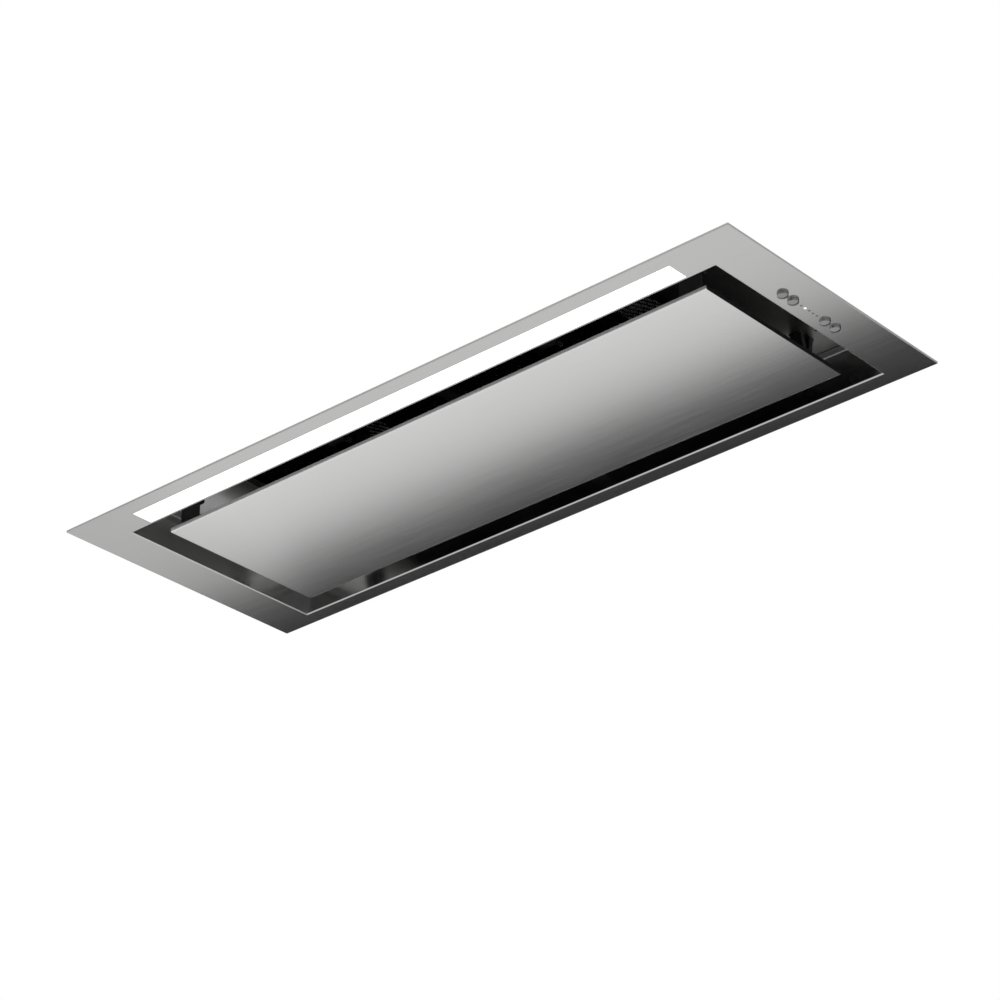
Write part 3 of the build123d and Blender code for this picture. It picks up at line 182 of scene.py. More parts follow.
def brushedSheet(name, setup):
    # long fine streaks along one axis, with faint wide clouds where hands and cloths have been
    material, tree, shader = newMaterial(name, setup, 1.0)
    streaks = objectPattern(tree, "ShaderNodeTexNoise", setup["streaks"], Detail=2.0).outputs["Fac"]
    clouds = objectPattern(tree, "ShaderNodeTexNoise", (setup["clouds"],) * 3, Detail=2.0).outputs["Fac"]
    both = weighed(tree, streaks, clouds, setup["streakShare"])
    tone = toned(tree, spread(tree, both, 0, 1, *noiseSpan), setup["colour"],
                 1 - setup["contrast"], 1 + setup["contrast"])
    rough = around(tree, both, setup["roughness"], setup["roughSpan"], *noiseSpan)
    place = objectPlace(tree)
    endward = combine(tree, "ABSOLUTE", place["X"], 0.0)
    # above some height the sheet is rougher and its colour goes over to another one: a lighter one on the
    # panel, a painted reflection on its lips, and a darker one on the fascia, painted shade at the top of the
    # recess
    paintedAboveShare = spread(tree, place["Z"], 0, 1, *setup["paintedAboveFrom"])
    tone = towards(tree, paintedAboveShare, tone, setup["paintedAboveColour"])
    rough = combine(tree, "ADD", rough, combine(tree, "MULTIPLY", paintedAboveShare, setup["dullRough"]))
    if "dusty" in setup:
        # the end walls of the recess carry a thin film of dust
        dustAndPaintedShade = combine(tree, "MULTIPLY", spread(tree, place["Z"], 0, 1, *setup["dustyAbove"]),
                       spread(tree, endward, 0, 1, *setup["dustyBeyond"]))
        tree.links.new(spread(tree, dustAndPaintedShade, 1.0, setup["dusty"]), shader.inputs["Metallic"])
    if "shadedEnds" in setup:
        # the panel's end walls are painted dark, as painted shade
        tone = towards(tree, spread(tree, endward, 0, 1, *setup["shadedEnds"]), tone, setup["endShadeColour"])
    tree.links.new(tone, shader.inputs["Base Color"])
    tree.links.new(rough, shader.inputs["Roughness"])
    addBump(tree, shader, streaks, setup["depth"])
    return material


def zincSheet(name, setup):
    # zinc spangle: flat crystals, each a little lighter or darker and rougher or smoother than its neighbours
    material, tree, shader = newMaterial(name, setup, 1.0)
    warp = objectPattern(tree, "ShaderNodeTexNoise", (setup["crystals"] * setup["warpScale"],) * 3, Detail=2.0)
    coords = addNode(tree, "ShaderNodeTexCoord")
    shifted = addNode(tree, "ShaderNodeVectorMath", operation="MULTIPLY_ADD")
    shifted.inputs[1].default_value = (setup["warp"],) * 3
    tree.links.new(warp.outputs["Color"], shifted.inputs[0])
    tree.links.new(coords.outputs["Object"], shifted.inputs[2])
    cells = addNode(tree, "ShaderNodeTexVoronoi", {"Scale": setup["crystals"]})
    tree.links.new(shifted.outputs[0], cells.inputs["Vector"])
    grey = addNode(tree, "ShaderNodeRGBToBW")
    tree.links.new(cells.outputs["Color"], grey.inputs["Color"])
    fine = objectPattern(tree, "ShaderNodeTexNoise", (setup["fine"],) * 3, Detail=3.0).outputs["Fac"]
    both = weighed(tree, grey.outputs["Val"], fine, setup["crystalShare"])
    tone = toned(tree, both, setup["colour"], 1 - setup["contrast"], 1 + setup["contrast"])
    if "shadeFrom" in setup:
        # painted shade that starts some way from the hinge end
        dustAndPaintedShade = spread(tree, objectPlace(tree)["X"], 0, 1, *setup["shadeFrom"])
        tone = towards(tree, dustAndPaintedShade, tone, setup["shadeColour"])
    tree.links.new(tone, shader.inputs["Base Color"])
    tree.links.new(around(tree, both, setup["roughness"], setup["roughSpan"]), shader.inputs["Roughness"])
    addBump(tree, shader, fine, setup["depth"])
    return material


def grainedMetal(name, setup):
    # cast, plated or rolled metal with a fine even grain and slow changes of tone
    setup = {**metalCommon, **setup}
    material, tree, shader = newMaterial(name, setup, 1.0)
    grain = objectPattern(tree, "ShaderNodeTexNoise", setup["grain"], Detail=3.0).outputs["Fac"]
    slow = objectPattern(tree, "ShaderNodeTexNoise", (setup["slow"],) * 3, Detail=2.0).outputs["Fac"]
    tone = toned(tree, spread(tree, slow, 0, 1, *noiseSpan), setup["colour"], *setup["tones"])
    smooth, rough = (setup["roughness"] + change for change in setup["roughChange"])
    tree.links.new(tone, shader.inputs["Base Color"])
    tree.links.new(spread(tree, grain, smooth, rough, *noiseSpan), shader.inputs["Roughness"])
    addBump(tree, shader, grain, setup["depth"])
    return material


def mouldedPlastic(name, setup):
    # spark-eroded mould texture, a little shinier where it has been rubbed
    setup = {**plasticCommon, **setup}
    material, tree, shader = newMaterial(name, setup, 0.0)
    pits = objectPattern(tree, "ShaderNodeTexVoronoi", (setup["pits"],) * 3).outputs["Distance"]
    slow = objectPattern(tree, "ShaderNodeTexNoise", (setup["slow"],) * 3, Detail=3.0).outputs["Fac"]
    tone = toned(tree, spread(tree, slow, 0, 1, *noiseSpan), setup["colour"], *setup["tones"])
    rough = around(tree, slow, setup["roughness"], setup["roughSpan"], *noiseSpan)
    tree.links.new(tone, shader.inputs["Base Color"])
    tree.links.new(rough, shader.inputs["Roughness"])
    addBump(tree, shader, pits, setup["depth"], setup["bump"])
    return material


def opalGlow(name, setup):
    # an opal cover, evenly lit but for faint slow clouds
    material, tree, shader = newMaterial(name, setup, 0.0)
    slow = objectPattern(tree, "ShaderNodeTexNoise", setup["grain"], Detail=2.0).outputs["Fac"]
    tree.links.new(tint(tree, slow, setup["dim"], setup["bright"]), shader.inputs["Emission Color"])
    shader.inputs["Emission Strength"].default_value = setup["strength"]
    return material


def pipeClear(name, setup):
    # clear acrylic over a dark bore, so it reads as a small dark glossy dot
    material, tree, shader = newMaterial(name, setup, 0.0, IOR=setup["refraction"])
    grain = objectPattern(tree, "ShaderNodeTexNoise", (setup["grain"],) * 3, Detail=2.0).outputs["Fac"]
    tree.links.new(toned(tree, grain, setup["colour"], *setup["tones"]), shader.inputs["Base Color"])
    return material


def circuitBoard(name, setup):
    # solder mask over tracks that run in two directions, with tinned pads at a regular pitch
    material, tree, shader = newMaterial(name, setup, 0.0)
    tracks = objectPattern(tree, "ShaderNodeTexBrick", (1, 1, 1), **setup["tracks"]).outputs["Fac"]
    pads = objectPattern(tree, "ShaderNodeTexVoronoi", (setup["pads"],) * 3, Randomness=setup["uneven"])
    isPad = spread(tree, pads.outputs["Distance"], 1, 0, *setup["padEdge"])
    bare = towards(tree, isPad, tint(tree, tracks, setup["colour"], setup["trackColour"]), setup["tin"])
    tree.links.new(bare, shader.inputs["Base Color"])
    tree.links.new(spread(tree, isPad, 0, setup["padMetallic"]), shader.inputs["Metallic"])
    addBump(tree, shader, tracks, setup["depth"])
    return material


# Finishes. Streaks, clouds, grain, pits and crystals are per metre, depths and places are in metres
fasciaSteel = {"colour": (0.56, 0.56, 0.555), "roughness": 0.17, "streaks": (14, 2600, 2600), "clouds": 9.0,
               "streakShare": 0.75, "contrast": 0.05, "roughSpan": 0.03, "depth": 0.0000015,
               # painted shade: the fascia is darker at the top of the recess
               "paintedAboveFrom": (0.0348, 0.0360), "paintedAboveColour": (0.27, 0.27, 0.267), "dullRough": 0.25,
               "dusty": 0.76, "dustyAbove": (-0.0021, 0.0), "dustyBeyond": (0.345, 0.352)}
panelSteel = {"colour": (0.72, 0.72, 0.715), "roughness": 0.17, "streaks": (14, 2600, 2600), "clouds": 7.0,
              "streakShare": 0.75, "contrast": 0.05, "roughSpan": 0.03, "depth": 0.0000015,
              # painted reflection: the panel is lighter on its lips
              "paintedAboveFrom": (-0.0018, -0.0012), "paintedAboveColour": (0.85, 0.85, 0.845), "dullRough": 0.48,
              # painted shade: the panel's end walls are near black
              "shadedEnds": (0.3255, 0.3258), "endShadeColour": (0.04, 0.04, 0.04)}
cleanZinc = {"colour": (0.50, 0.503, 0.505), "roughness": 0.42, "crystals": 85.0, "warp": 0.006,
             "warpScale": 0.7, "fine": 420.0, "crystalShare": 0.8, "contrast": 0.16, "roughSpan": 0.09,
             "depth": 0.00001}
# the suction plate's zinc darkens away from the hinge end: painted shade
zincPaintedShade = {**cleanZinc, "colour": (0.66, 0.66, 0.657), "contrast": 0.10,
               "shadeFrom": (-0.292, -0.258), "shadeColour": (0.25, 0.25, 0.247)}
metalCommon = {"slow": 30, "tones": (0.88, 1.08), "roughChange": (-0.06, 0.08)}
metalSetups = {
    "drawnWire": {"colour": (0.42, 0.43, 0.44), "roughness": 0.32, "grain": (900, 900, 900),
                  "depth": 0.00001},
    # painted shade: the filter frames and their rivets are near black inside the hood
    "frameBlackPaintedShade": {"colour": (0.055, 0.055, 0.057), "roughness": 0.42, "grain": (60, 1800, 1800),
                 "depth": 0.000006},
    "platedSteel": {"colour": (0.60, 0.60, 0.60), "roughness": 0.30, "grain": (1400, 1400, 1400),
                    "depth": 0.000008},
    "buttonChrome": {"colour": (0.29, 0.29, 0.29), "roughness": 0.20, "grain": (2400, 2400, 2400),
                     "depth": 0.000003},
    # painted shade: the filter mesh is near black inside the hood
    "meshAluminiumPaintedShade": {"colour": (0.035, 0.035, 0.036), "roughness": 0.46, "grain": (900, 900, 900),
                      "depth": 0.00002},
    "magnetNickel": {"colour": (0.55, 0.54, 0.52), "roughness": 0.22, "grain": (800, 800, 800),
                     "depth": 0.000006},
    "enamelledCopper": {"colour": (0.62, 0.29, 0.13), "roughness": 0.30, "grain": (500, 500, 500),
                        "depth": 0.00003},
}
plasticCommon = {"slow": 22, "tones": (0.9, 1.1), "roughSpan": 0.08, "bump": 0.5}
plasticSetups = {
    "blackPlastic": {"colour": (0.030, 0.030, 0.032), "roughness": 0.48, "pits": 2600.0, "depth": 0.00004},
    "greyPlastic": {"colour": (0.30, 0.31, 0.32), "roughness": 0.50, "pits": 2400.0, "depth": 0.00004},
    "whitePlastic": {"colour": (0.78, 0.78, 0.76), "roughness": 0.45, "pits": 2400.0, "depth": 0.00003},
    "blackPaintAndShade": {"colour": (0.022, 0.022, 0.024), "roughness": 0.38, "pits": 900.0, "depth": 0.00006},
    "leadSleeve": {"colour": (0.040, 0.040, 0.042), "roughness": 0.42, "pits": 1400.0, "depth": 0.00002},
    "softRubber": {"colour": (0.024, 0.024, 0.024), "roughness": 0.80, "pits": 1800.0, "depth": 0.00005},
    "cellFoam": {"colour": (0.050, 0.050, 0.054), "roughness": 0.95, "pits": 1100.0, "depth": 0.00035},
}
lampOpal = {"colour": (0.93, 0.93, 0.91), "roughness": 0.35, "grain": (40, 160, 160),
            "dim": (0.97, 0.97, 0.95), "bright": (1, 1, 0.99), "strength": 1.5}
litPipe = {"colour": (0.9, 0.9, 0.9), "roughness": 0.2, "grain": (900, 900, 900),
           "dim": (0.95, 0.97, 1), "bright": (1, 1, 1), "strength": 0.95}
clearPipe = {"colour": (0.24, 0.24, 0.25), "roughness": 0.25, "grain": 700, "tones": (0.8, 1.2),
             "refraction": 1.49}
greenBoard = {"colour": (0.02, 0.14, 0.06), "roughness": 0.35, "trackColour": (0.04, 0.26, 0.11),
              "tracks": {"Scale": 260.0, "Mortar Size": 0.03, "Brick Width": 0.9, "Row Height": 0.35},
              "tin": (0.6, 0.6, 0.58), "pads": 180.0, "uneven": 0.35, "padEdge": (0.17, 0.2),
              "padMetallic": 0.9, "depth": 0.00004}

finishes = {
    "fasciaSteel": brushedSheet("fasciaSteel", fasciaSteel),
    "panelSteel": brushedSheet("panelSteel", panelSteel),
    "zincSheet": zincSheet("zincSheet", cleanZinc),
    "zincPaintedShade": zincSheet("zincPaintedShade", zincPaintedShade),
    "lampOpal": opalGlow("lampOpal", lampOpal),
    "litPipe": opalGlow("litPipe", litPipe),
    "pipeClear": pipeClear("pipeClear", clearPipe),
    "circuitBoard": circuitBoard("circuitBoard", greenBoard),
    **{name: grainedMetal(name, setup) for name, setup in metalSetups.items()},
    **{name: mouldedPlastic(name, setup) for name, setup in plasticSetups.items()},
}

nodesOf = {
    "fasciaSteel": ["fascia"],
    "panelSteel": ["panel_skin"],
    "zincPaintedShade": ["suction_plate"],
    "zincSheet": ["lower_housing", "upper_housing", "top_plate", "panel_tray", "lamp_tray", "scroll_wrap",
                  "scroll_sides", "impeller", "impeller_blades", "motor_can", "motor_cap"],
    "platedSteel": ["strike_plates", "housing_screws", "damper_pin", "motor_rotor", "motor_bearings"],
    # the hinge leaves and pins take this black as painted shade in the gap beside the filters
    "blackPaintAndShade": ["hinge_leaves", "hinge_hangers", "hinge_pins", "catch_brackets", "motor_bracket"],
    "magnetNickel": ["catch_magnets"],
    "drawnWire": ["side_clips", "latch_spring_left", "latch_spring_right", "button_spring_1",
                  "button_spring_2", "button_spring_3", "button_spring_4"],
    "frameBlackPaintedShade": ["filter_frame_left", "filter_frame_right"],
    "meshAluminiumPaintedShade": ["filter_meshes"],
    "buttonChrome": ["button_1", "button_2", "button_3", "button_4"],
    "blackPlastic": ["control_carrier", "button_switches", "duct_collar", "damper_flap_left",
                     "damper_flap_right", "filter_latch_left", "filter_latch_right"],
    "greyPlastic": ["electronics_box", "electronics_lid", "cable_gland"],
    "whitePlastic": ["led_board", "led_driver"],
    "circuitBoard": ["control_board", "power_board"],
    "softRubber": ["motor_mounts"],
    "cellFoam": ["seat_gasket"],
    "leadSleeve": ["wiring"],
    "enamelledCopper": ["motor_stator"],
    "lampOpal": ["lamp_diffuser"],
    "litPipe": ["indicator_lit"],
    "pipeClear": ["indicator_lenses"],
}
for finish, names in nodesOf.items():
    for name in names:
        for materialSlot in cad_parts[name].material_slots:
            materialSlot.material = finishes[finish]
unpainted = sorted(set(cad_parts) - {name for names in nodesOf.values() for name in names})
print("materials on the nodes, left over:", unpainted)

# Surfaces. All of them are worked out in millimetres
weldSetup = {"merge": 2e-6, "collapsed": 1e-6, "perMetre": 1000}


def gridPiece(name, grids, finish, body, sharpAngle=35.0):
    # each grid is rows x columns x 3, and its columns close into a ring
    points, faces, start = [], [], 0
    for grid in grids:
        rows, columns = grid.shape[:2]
        index = start + np.arange(rows * columns).reshape(rows, columns)
        index = np.concatenate([index, index[:, :1]], axis=1)
        corners = [index[:-1, :-1], index[:-1, 1:], index[1:, 1:], index[1:, :-1]]
        faces.append(np.stack([corner.ravel() for corner in corners], axis=1))
        points.append(grid.reshape(-1, 3) / weldSetup["perMetre"])
        start += rows * columns
    mesh = bpy.data.meshes.new(name)
    mesh.from_pydata(np.concatenate(points).tolist(), [], np.concatenate(faces).tolist())
    shell = bmesh.new()
    shell.from_mesh(mesh)
    bmesh.ops.remove_doubles(shell, verts=shell.verts, dist=weldSetup["merge"])
    bmesh.ops.dissolve_degenerate(shell, edges=shell.edges, dist=weldSetup["collapsed"])
    bmesh.ops.recalc_face_normals(shell, faces=shell.faces)
    shell.to_mesh(mesh)
    shell.free()
    mesh.shade_smooth()
    mesh.set_sharp_from_angle(angle=math.radians(sharpAngle))
    mesh.materials.append(finishes[finish])
    piece = bpy.data.objects.new(name, mesh)
    bpy.context.scene.collection.objects.link(piece)
    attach(piece, body)
    return piece


oblique = (0.31, 0.52, 0.79)  # a direction that no axis below follows


def basis(axis):
    # two directions across an axis
    axis = np.asarray(axis, float)
    first = np.cross(axis, oblique)
    first /= np.linalg.norm(first)
    return first, np.cross(axis, first), axis


def turned(profile, centre, axis, sides):
    # a profile of radius and height turned about an axis through the centre
    first, second, axis = basis(axis)
    profile = np.asarray(profile, float)
    angle = np.linspace(0, 2 * np.pi, sides, endpoint=False)
    ring = np.cos(angle)[:, None] * first + np.sin(angle)[:, None] * second
    return np.asarray(centre, float) + profile[:, 0, None, None] * ring + profile[:, 1, None, None] * axis


def carried(path, across, upward, section):
    # a closed section carried along a path and shut at both ends; across and upward span its plane
    path, across, upward, section = (np.asarray(value, float) for value in (path, across, upward, section))
    across, upward = (np.broadcast_to(value, path.shape)[:, None] for value in (across, upward))
    rows = path[:, None] + section[..., 0, None] * across + section[..., 1, None] * upward
    ends = [np.repeat(row.mean(0)[None], rows.shape[1], 0)[None] for row in (rows[0], rows[-1])]
    return np.concatenate([ends[0], rows, ends[1]])


# Steps of a rib's section and of its ends, its depth in the sheet, and the angle at which its ends start
beadSetup = {"sectionSteps": 8, "endSteps": 6, "sink": 0.25, "endFrom": 0.12}


def bead(start, end, outward, width, height):
    # a pressed rib: half an ellipse carried from start to end, drawn in on a quarter circle at each end
    start, end, outward = (np.asarray(value, float) for value in (start, end, outward))
    length = np.linalg.norm(end - start)
    along = (end - start) / length
    turn = np.linspace(0, np.pi, beadSetup["sectionSteps"])
    section = np.stack([np.cos(turn) * width / 2, np.sin(turn) * height], 1)
    section = np.concatenate([section, [(-width / 2, -beadSetup["sink"]), (width / 2, -beadSetup["sink"])]])
    quarter = np.linspace(beadSetup["endFrom"], np.pi / 2, beadSetup["endSteps"])
    shrink = np.concatenate([np.sin(quarter), np.sin(quarter[::-1])])
    place = np.concatenate([1 - np.cos(quarter), 2 * length / width - 1 + np.cos(quarter[::-1])]) * width / 2
    path = start + place[:, None] * along
    return carried(path, np.cross(outward, along), outward, shrink[:, None, None] * section)


rivetSetup = {"profile": [(0, 0.45), (0.75, 0.5), (0.95, 1.05), (1.7, 0.95), (2.5, 0.5), (2.8, 0.0),
                          (2.8, -0.3), (0, -0.3)],
              "sides": 14}


def rivets(places, axis, scale=1.0):
    # a domed head with a dimple, turned about the axis at each place
    profile = np.asarray(rivetSetup["profile"]) * scale
    return [turned(profile, place, axis, rivetSetup["sides"]) for place in places]


def crossScrew(place, setup):
    # a pan head lowered where either arm of a cross lies, over a shank whose radius steps in and out
    # for the thread
    first, second, axis = basis((0, 0, 1))
    angle = np.linspace(0, 2 * np.pi, setup["sides"], endpoint=False)
    ring = np.linspace(0, 1, setup["rings"])[:, None]
    radius = setup["headRadius"] * ring
    alongX, alongY = radius * np.cos(angle), radius * np.sin(angle)

    def armFall(acrossArm, alongArm):
        return (np.clip((setup["armHalf"] - abs(acrossArm)) / setup["armBlend"], 0, 1)
                * np.clip((setup["armReach"] - abs(alongArm)) / setup["armRunOut"], 0, 1))

    recess = setup["recess"] * np.maximum(armFall(alongX, alongY), armFall(alongY, alongX))
    top = setup["headHeight"] * (1 - setup["crown"] * ring ** 3) - recess
    turns = np.arange(2 * setup["threads"] + 1)
    shank = [(setup["shank"] * (1 - setup["threadDepth"] * (turn % 2)), -setup["length"] * turn / turns[-1])
             for turn in turns]
    inset, raised = setup["underEdge"]
    lower = np.array([(setup["headRadius"], raised), (setup["headRadius"] * inset, 0), *shank,
                      (0, -setup["length"] - setup["point"])])
    sides = np.ones_like(angle)
    radii = np.concatenate([radius * sides, lower[:, :1] * sides])[..., None]
    heights = np.concatenate([top, lower[:, 1:] * sides])[..., None]
    circle = np.cos(angle)[:, None] * first + np.sin(angle)[:, None] * second
    return np.asarray(place, float) + radii * circle + heights * axis


# Screws of the housing and of the duct collar
screwSetup = {
    "headRadius": 3.8, "headHeight": 2.2, "crown": 0.45, "underEdge": (0.97, 0.1),
    "shank": 1.9, "length": 7.0, "point": 1.2, "threads": 7, "threadDepth": 0.16,
    "armHalf": 0.6, "armReach": 2.3, "armBlend": 0.15, "armRunOut": 0.6, "recess": 1.2,
    "rings": 16, "sides": 48,
    "places": [(x, y, 97.0) for x in (-120, 120) for y in (-132, 132)]
              + [(x, y, 238.8) for x in (-56.9, 56.9) for y in (-28.4, 85.4)],
}
screwPiece = gridPiece("crossHeadScrews", [crossScrew(place, screwSetup) for place in screwSetup["places"]],
                       "platedSteel", "hood")
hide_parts("housing_screws")

# Short screws of the box's lid
lidScrewSetup = {
    **screwSetup, "headRadius": 2.8, "headHeight": 1.6, "shank": 1.3, "length": 2.0, "point": 0.4,
    "threads": 2, "armHalf": 0.45, "armReach": 1.7, "recess": 0.9, "rings": 12, "sides": 32,
    "places": [(x, y, 81.8) for x in (293.5, 338.5) for y in (-68.5, 68.5)],
}
gridPiece("lidScrews", [crossScrew(place, lidScrewSetup) for place in lidScrewSetup["places"]],
          "platedSteel", "hood")
print("screws made")

# Caps of the push buttons
capSetup = {"x": 369.0, "places": (-34.5, -19.8, 25.6, 40.3), "radius": 5.0, "apex": -6.2, "rise": 1.5,
            "edge": 0.5, "collar": (6.5, -0.9, 0.1), "stem": (2.5, 9.0), "steps": 14, "sides": 96,
            "sharpAngle": 30.0}


def crownedCap(setup):
    # a crown of one large radius, rolled over into the wall by a small one, on a collar and a stem
    crown = (setup["radius"] ** 2 + setup["rise"] ** 2) / (2 * setup["rise"])
    middle = setup["apex"] + crown
    rollRadius, rollCentre = setup["edge"], setup["radius"] - setup["edge"]
    rollHeight = middle - math.sqrt((crown - rollRadius) ** 2 - rollCentre ** 2)
    meeting = math.asin(rollCentre / (crown - rollRadius))
    flat = np.linspace(0, meeting, setup["steps"])
    rolled = np.linspace(meeting, np.pi / 2, setup["steps"])[1:]
    collarRadius, collarLow, collarHigh = setup["collar"]
    stemRadius, stemTop = setup["stem"]
    return np.concatenate([
        np.stack([crown * np.sin(flat), middle - crown * np.cos(flat)], 1),
        np.stack([rollCentre + rollRadius * np.sin(rolled), rollHeight - rollRadius * np.cos(rolled)], 1),
        [(setup["radius"], collarLow), (collarRadius, collarLow), (collarRadius, collarHigh),
         (stemRadius, collarHigh), (stemRadius, stemTop), (0, stemTop)]])


for number, y in enumerate(capSetup["places"], start=1):
    cap = turned(crownedCap(capSetup), (capSetup["x"], y, 0), (0, 0, 1), capSetup["sides"])
    capPiece = gridPiece(f"crownedButton{number}", [cap], "buttonChrome", f"push_button_{number}",
                         capSetup["sharpAngle"])
    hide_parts(f"button_{number}")
print("button caps made")

# Pressed ribs of the two housings. Those that lie flat have both their ends and the third coordinate,
# and those that stand up have their x or y; each face has its distance from the middle
ribSetup = {
    "width": 9.0, "height": 1.5,
    "top": 96, "onTop": [(-362, -198, y) for y in (-96, -48, 0, 48, 96)]
                        + [(198, 362, y) for y in (-96, -48, 0, 48)] + [(198, 288, 96)],
    "lowerSide": 136, "onLowerSide": [(x, x + 150, z) for x in (-364, -182, 32, 214) for z in (30, 66)],
    "lowerEnd": 382, "onLowerEnd": (-36, 36, 66),
    "upperSpan": (116, 214),
    "upperSide": 126, "onUpperSide": (-104, -52, 0, 52, 104),
    "upperEnd": 160, "onUpperEnd": (-78, -26, 26, 78),
}


def housingRibs(setup):
    # a bead for each run, with the direction that its face looks in
    low, high = setup["upperSpan"]
    runs = [((x0, y, setup["top"]), (x1, y, setup["top"]), (0, 0, 1)) for x0, x1, y in setup["onTop"]]
    for side in (-1, 1):
        face = side * setup["lowerSide"]
        runs += [((x0, face, z), (x1, face, z), (0, side, 0)) for x0, x1, z in setup["onLowerSide"]]
        face = side * setup["upperSide"]
        runs += [((x, face, low), (x, face, high), (0, side, 0)) for x in setup["onUpperSide"]]
        face = side * setup["upperEnd"]
        runs += [((face, y, low), (face, y, high), (side, 0, 0)) for y in setup["onUpperEnd"]]
        face, (y0, y1, z) = side * setup["lowerEnd"], setup["onLowerEnd"]
        runs.append(((face, y0, z), (face, y1, z), (side, 0, 0)))
    return [bead(*run, setup["width"], setup["height"]) for run in runs]


gridPiece("pressedRibs", housingRibs(ribSetup), "zincSheet", "hood")

# Rivets of the two housings: each row is the distance of its face and the places along two axes
housingRivetSetup = {
    "flange": 97,
    "flangeRows": [((-150, -60, 0, 60, 150), (-131, 131)), ((-166, 166), (-90, 0, 90))],
    "sideRows": [(126.8, (-140, -70, 0, 70, 140), (230,)), (136, (-374, 374), (18, 50, 82))],
    "endRows": [(160.8, (-100, -34, 34, 100), (230,)), (160, (-116, 116), (124, 160, 196))],
}


def housingRivets(setup):
    # the places of each row are the products of its two lists, on both sides of the middle
    grids = rivets([(x, y, setup["flange"]) for alongX, alongY in setup["flangeRows"]
                    for x in alongX for y in alongY], (0, 0, 1))
    for side in (-1, 1):
        grids += rivets([(x, side * face, z) for face, alongX, alongZ in setup["sideRows"]
                         for x in alongX for z in alongZ], (0, side, 0))
    for side in (-1, 1):
        grids += rivets([(side * face, y, z) for face, alongY, alongZ in setup["endRows"]
                         for y in alongY for z in alongZ], (side, 0, 0))
    return grids


gridPiece("housingRivets", housingRivets(housingRivetSetup), "platedSteel", "hood")
print("housing ribs and rivets made")

# Ribs and rivets on the hidden side of the suction panel
panelRibSetup = {"width": 8.0, "height": 1.2, "reach": 276, "over": 7, "y": (-26, 4, 34, 64)}


def panelRibs(setup):
    # beads that run equally far to both sides of the middle
    reach, z = setup["reach"], setup["over"]
    return [bead((-reach, y, z), (reach, y, z), (0, 0, 1), setup["width"], setup["height"])
            for y in setup["y"]]


gridPiece("panelRibs", panelRibs(panelRibSetup), "zincSheet", "suction_panel")

leafRivetSetup = {"x": (299, 311), "y": -57, "over": 8.5, "scale": 0.7}
gridPiece("leafRivets", rivets([(side * x, leafRivetSetup["y"], leafRivetSetup["over"]) for side in (-1, 1)
                                for x in leafRivetSetup["x"]], (0, 0, 1), leafRivetSetup["scale"]),
          "platedSteel", "suction_panel")

# Domed black screws that hold the catch brackets to the ceiling of the recess
catchSetup = {"places": [(307.6, 87.4), (316.8, 87.4)], "under": 37.8, "scale": 0.55}
gridPiece("catchScrews", rivets([(side * x, y, catchSetup["under"]) for side in (-1, 1)
                                 for x, y in catchSetup["places"]], (0, 0, -1), catchSetup["scale"]),
          "blackPaintAndShade", "hood")

# Expanded mesh of the grease filters: in each layer, strands that zigzag and meet at the knuckles
meshSetup = {
    "middles": (-130, 130), "halfLength": 119.6, "front": -64.0, "back": 102.0,
    "layers": (39.7, 41.9, 44.1, 45.6), "strand": (1.0, 0.55), "sharpAngle": 60.0,
    "pitch": 7.2, "firstRow": 0.55, "lastRow": 0.5, "step": 3.1, "swing": 0.93, "lift": 0.35,
    "pocketHalf": 24.0, "pocketBack": -36.5,
}


def meshStrand(fromX, toX, y, z, phase, setup):
    # a flat strand whose y swings by half the pitch from one knuckle to the next
    count = max(3, int(round((toX - fromX) / setup["step"])) + 1)
    x = np.linspace(fromX, toX, count)
    swing = (np.arange(count) + phase) % 2 - 0.5
    path = np.stack([x, y + swing * setup["pitch"] * setup["swing"], z + setup["lift"] * swing], 1)
    wide, high = (side / 2 for side in setup["strand"])
    return carried(path, (0, 1, 0), (0, 0, 1), [(-wide, -high), (wide, -high), (wide, high), (-wide, high)])


def expandedMesh(setup):
    # rows of strands a pitch apart; each row and each layer swings against the one before
    pitch = setup["pitch"]
    rows = np.arange(setup["front"] + setup["firstRow"] * pitch,
                     setup["back"] - setup["lastRow"] * pitch, pitch)
    strands = []
    for middle in setup["middles"]:
        low, high = middle - setup["halfLength"], middle + setup["halfLength"]
        aside = [(low, middle - setup["pocketHalf"]), (middle + setup["pocketHalf"], high)]
        for layer, z in enumerate(setup["layers"]):
            for row, y in enumerate(rows):
                # the rows at the front leave room for the latch
                stretches = aside if y - pitch / 2 < setup["pocketBack"] else [(low, high)]
                strands += [meshStrand(fromX, toX, y, z, row + layer, setup) for fromX, toX in stretches]
    return strands


meshPiece = gridPiece("expandedMesh", expandedMesh(meshSetup), "meshAluminiumPaintedShade", "hood",
                      meshSetup["sharpAngle"])
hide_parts("filter_meshes")

# Rivets at the corners of the filter frames, below and above
frameSetup = {"middles": (-130, 130), "rivetX": 114, "rivetY": (-58, 100.5), "faces": ((37.8, -1), (46.8, 1)),
              "scale": 0.6}
frameRivets = []
for z, outward in frameSetup["faces"]:
    frameRivets += rivets([(middle + side * frameSetup["rivetX"], y, z) for middle in frameSetup["middles"]
                           for side in (-1, 1) for y in frameSetup["rivetY"]], (0, 0, outward),
                          frameSetup["scale"])
gridPiece("frameRivets", frameRivets, "frameBlackPaintedShade", "hood")
print("panel ribs and filter mesh made")

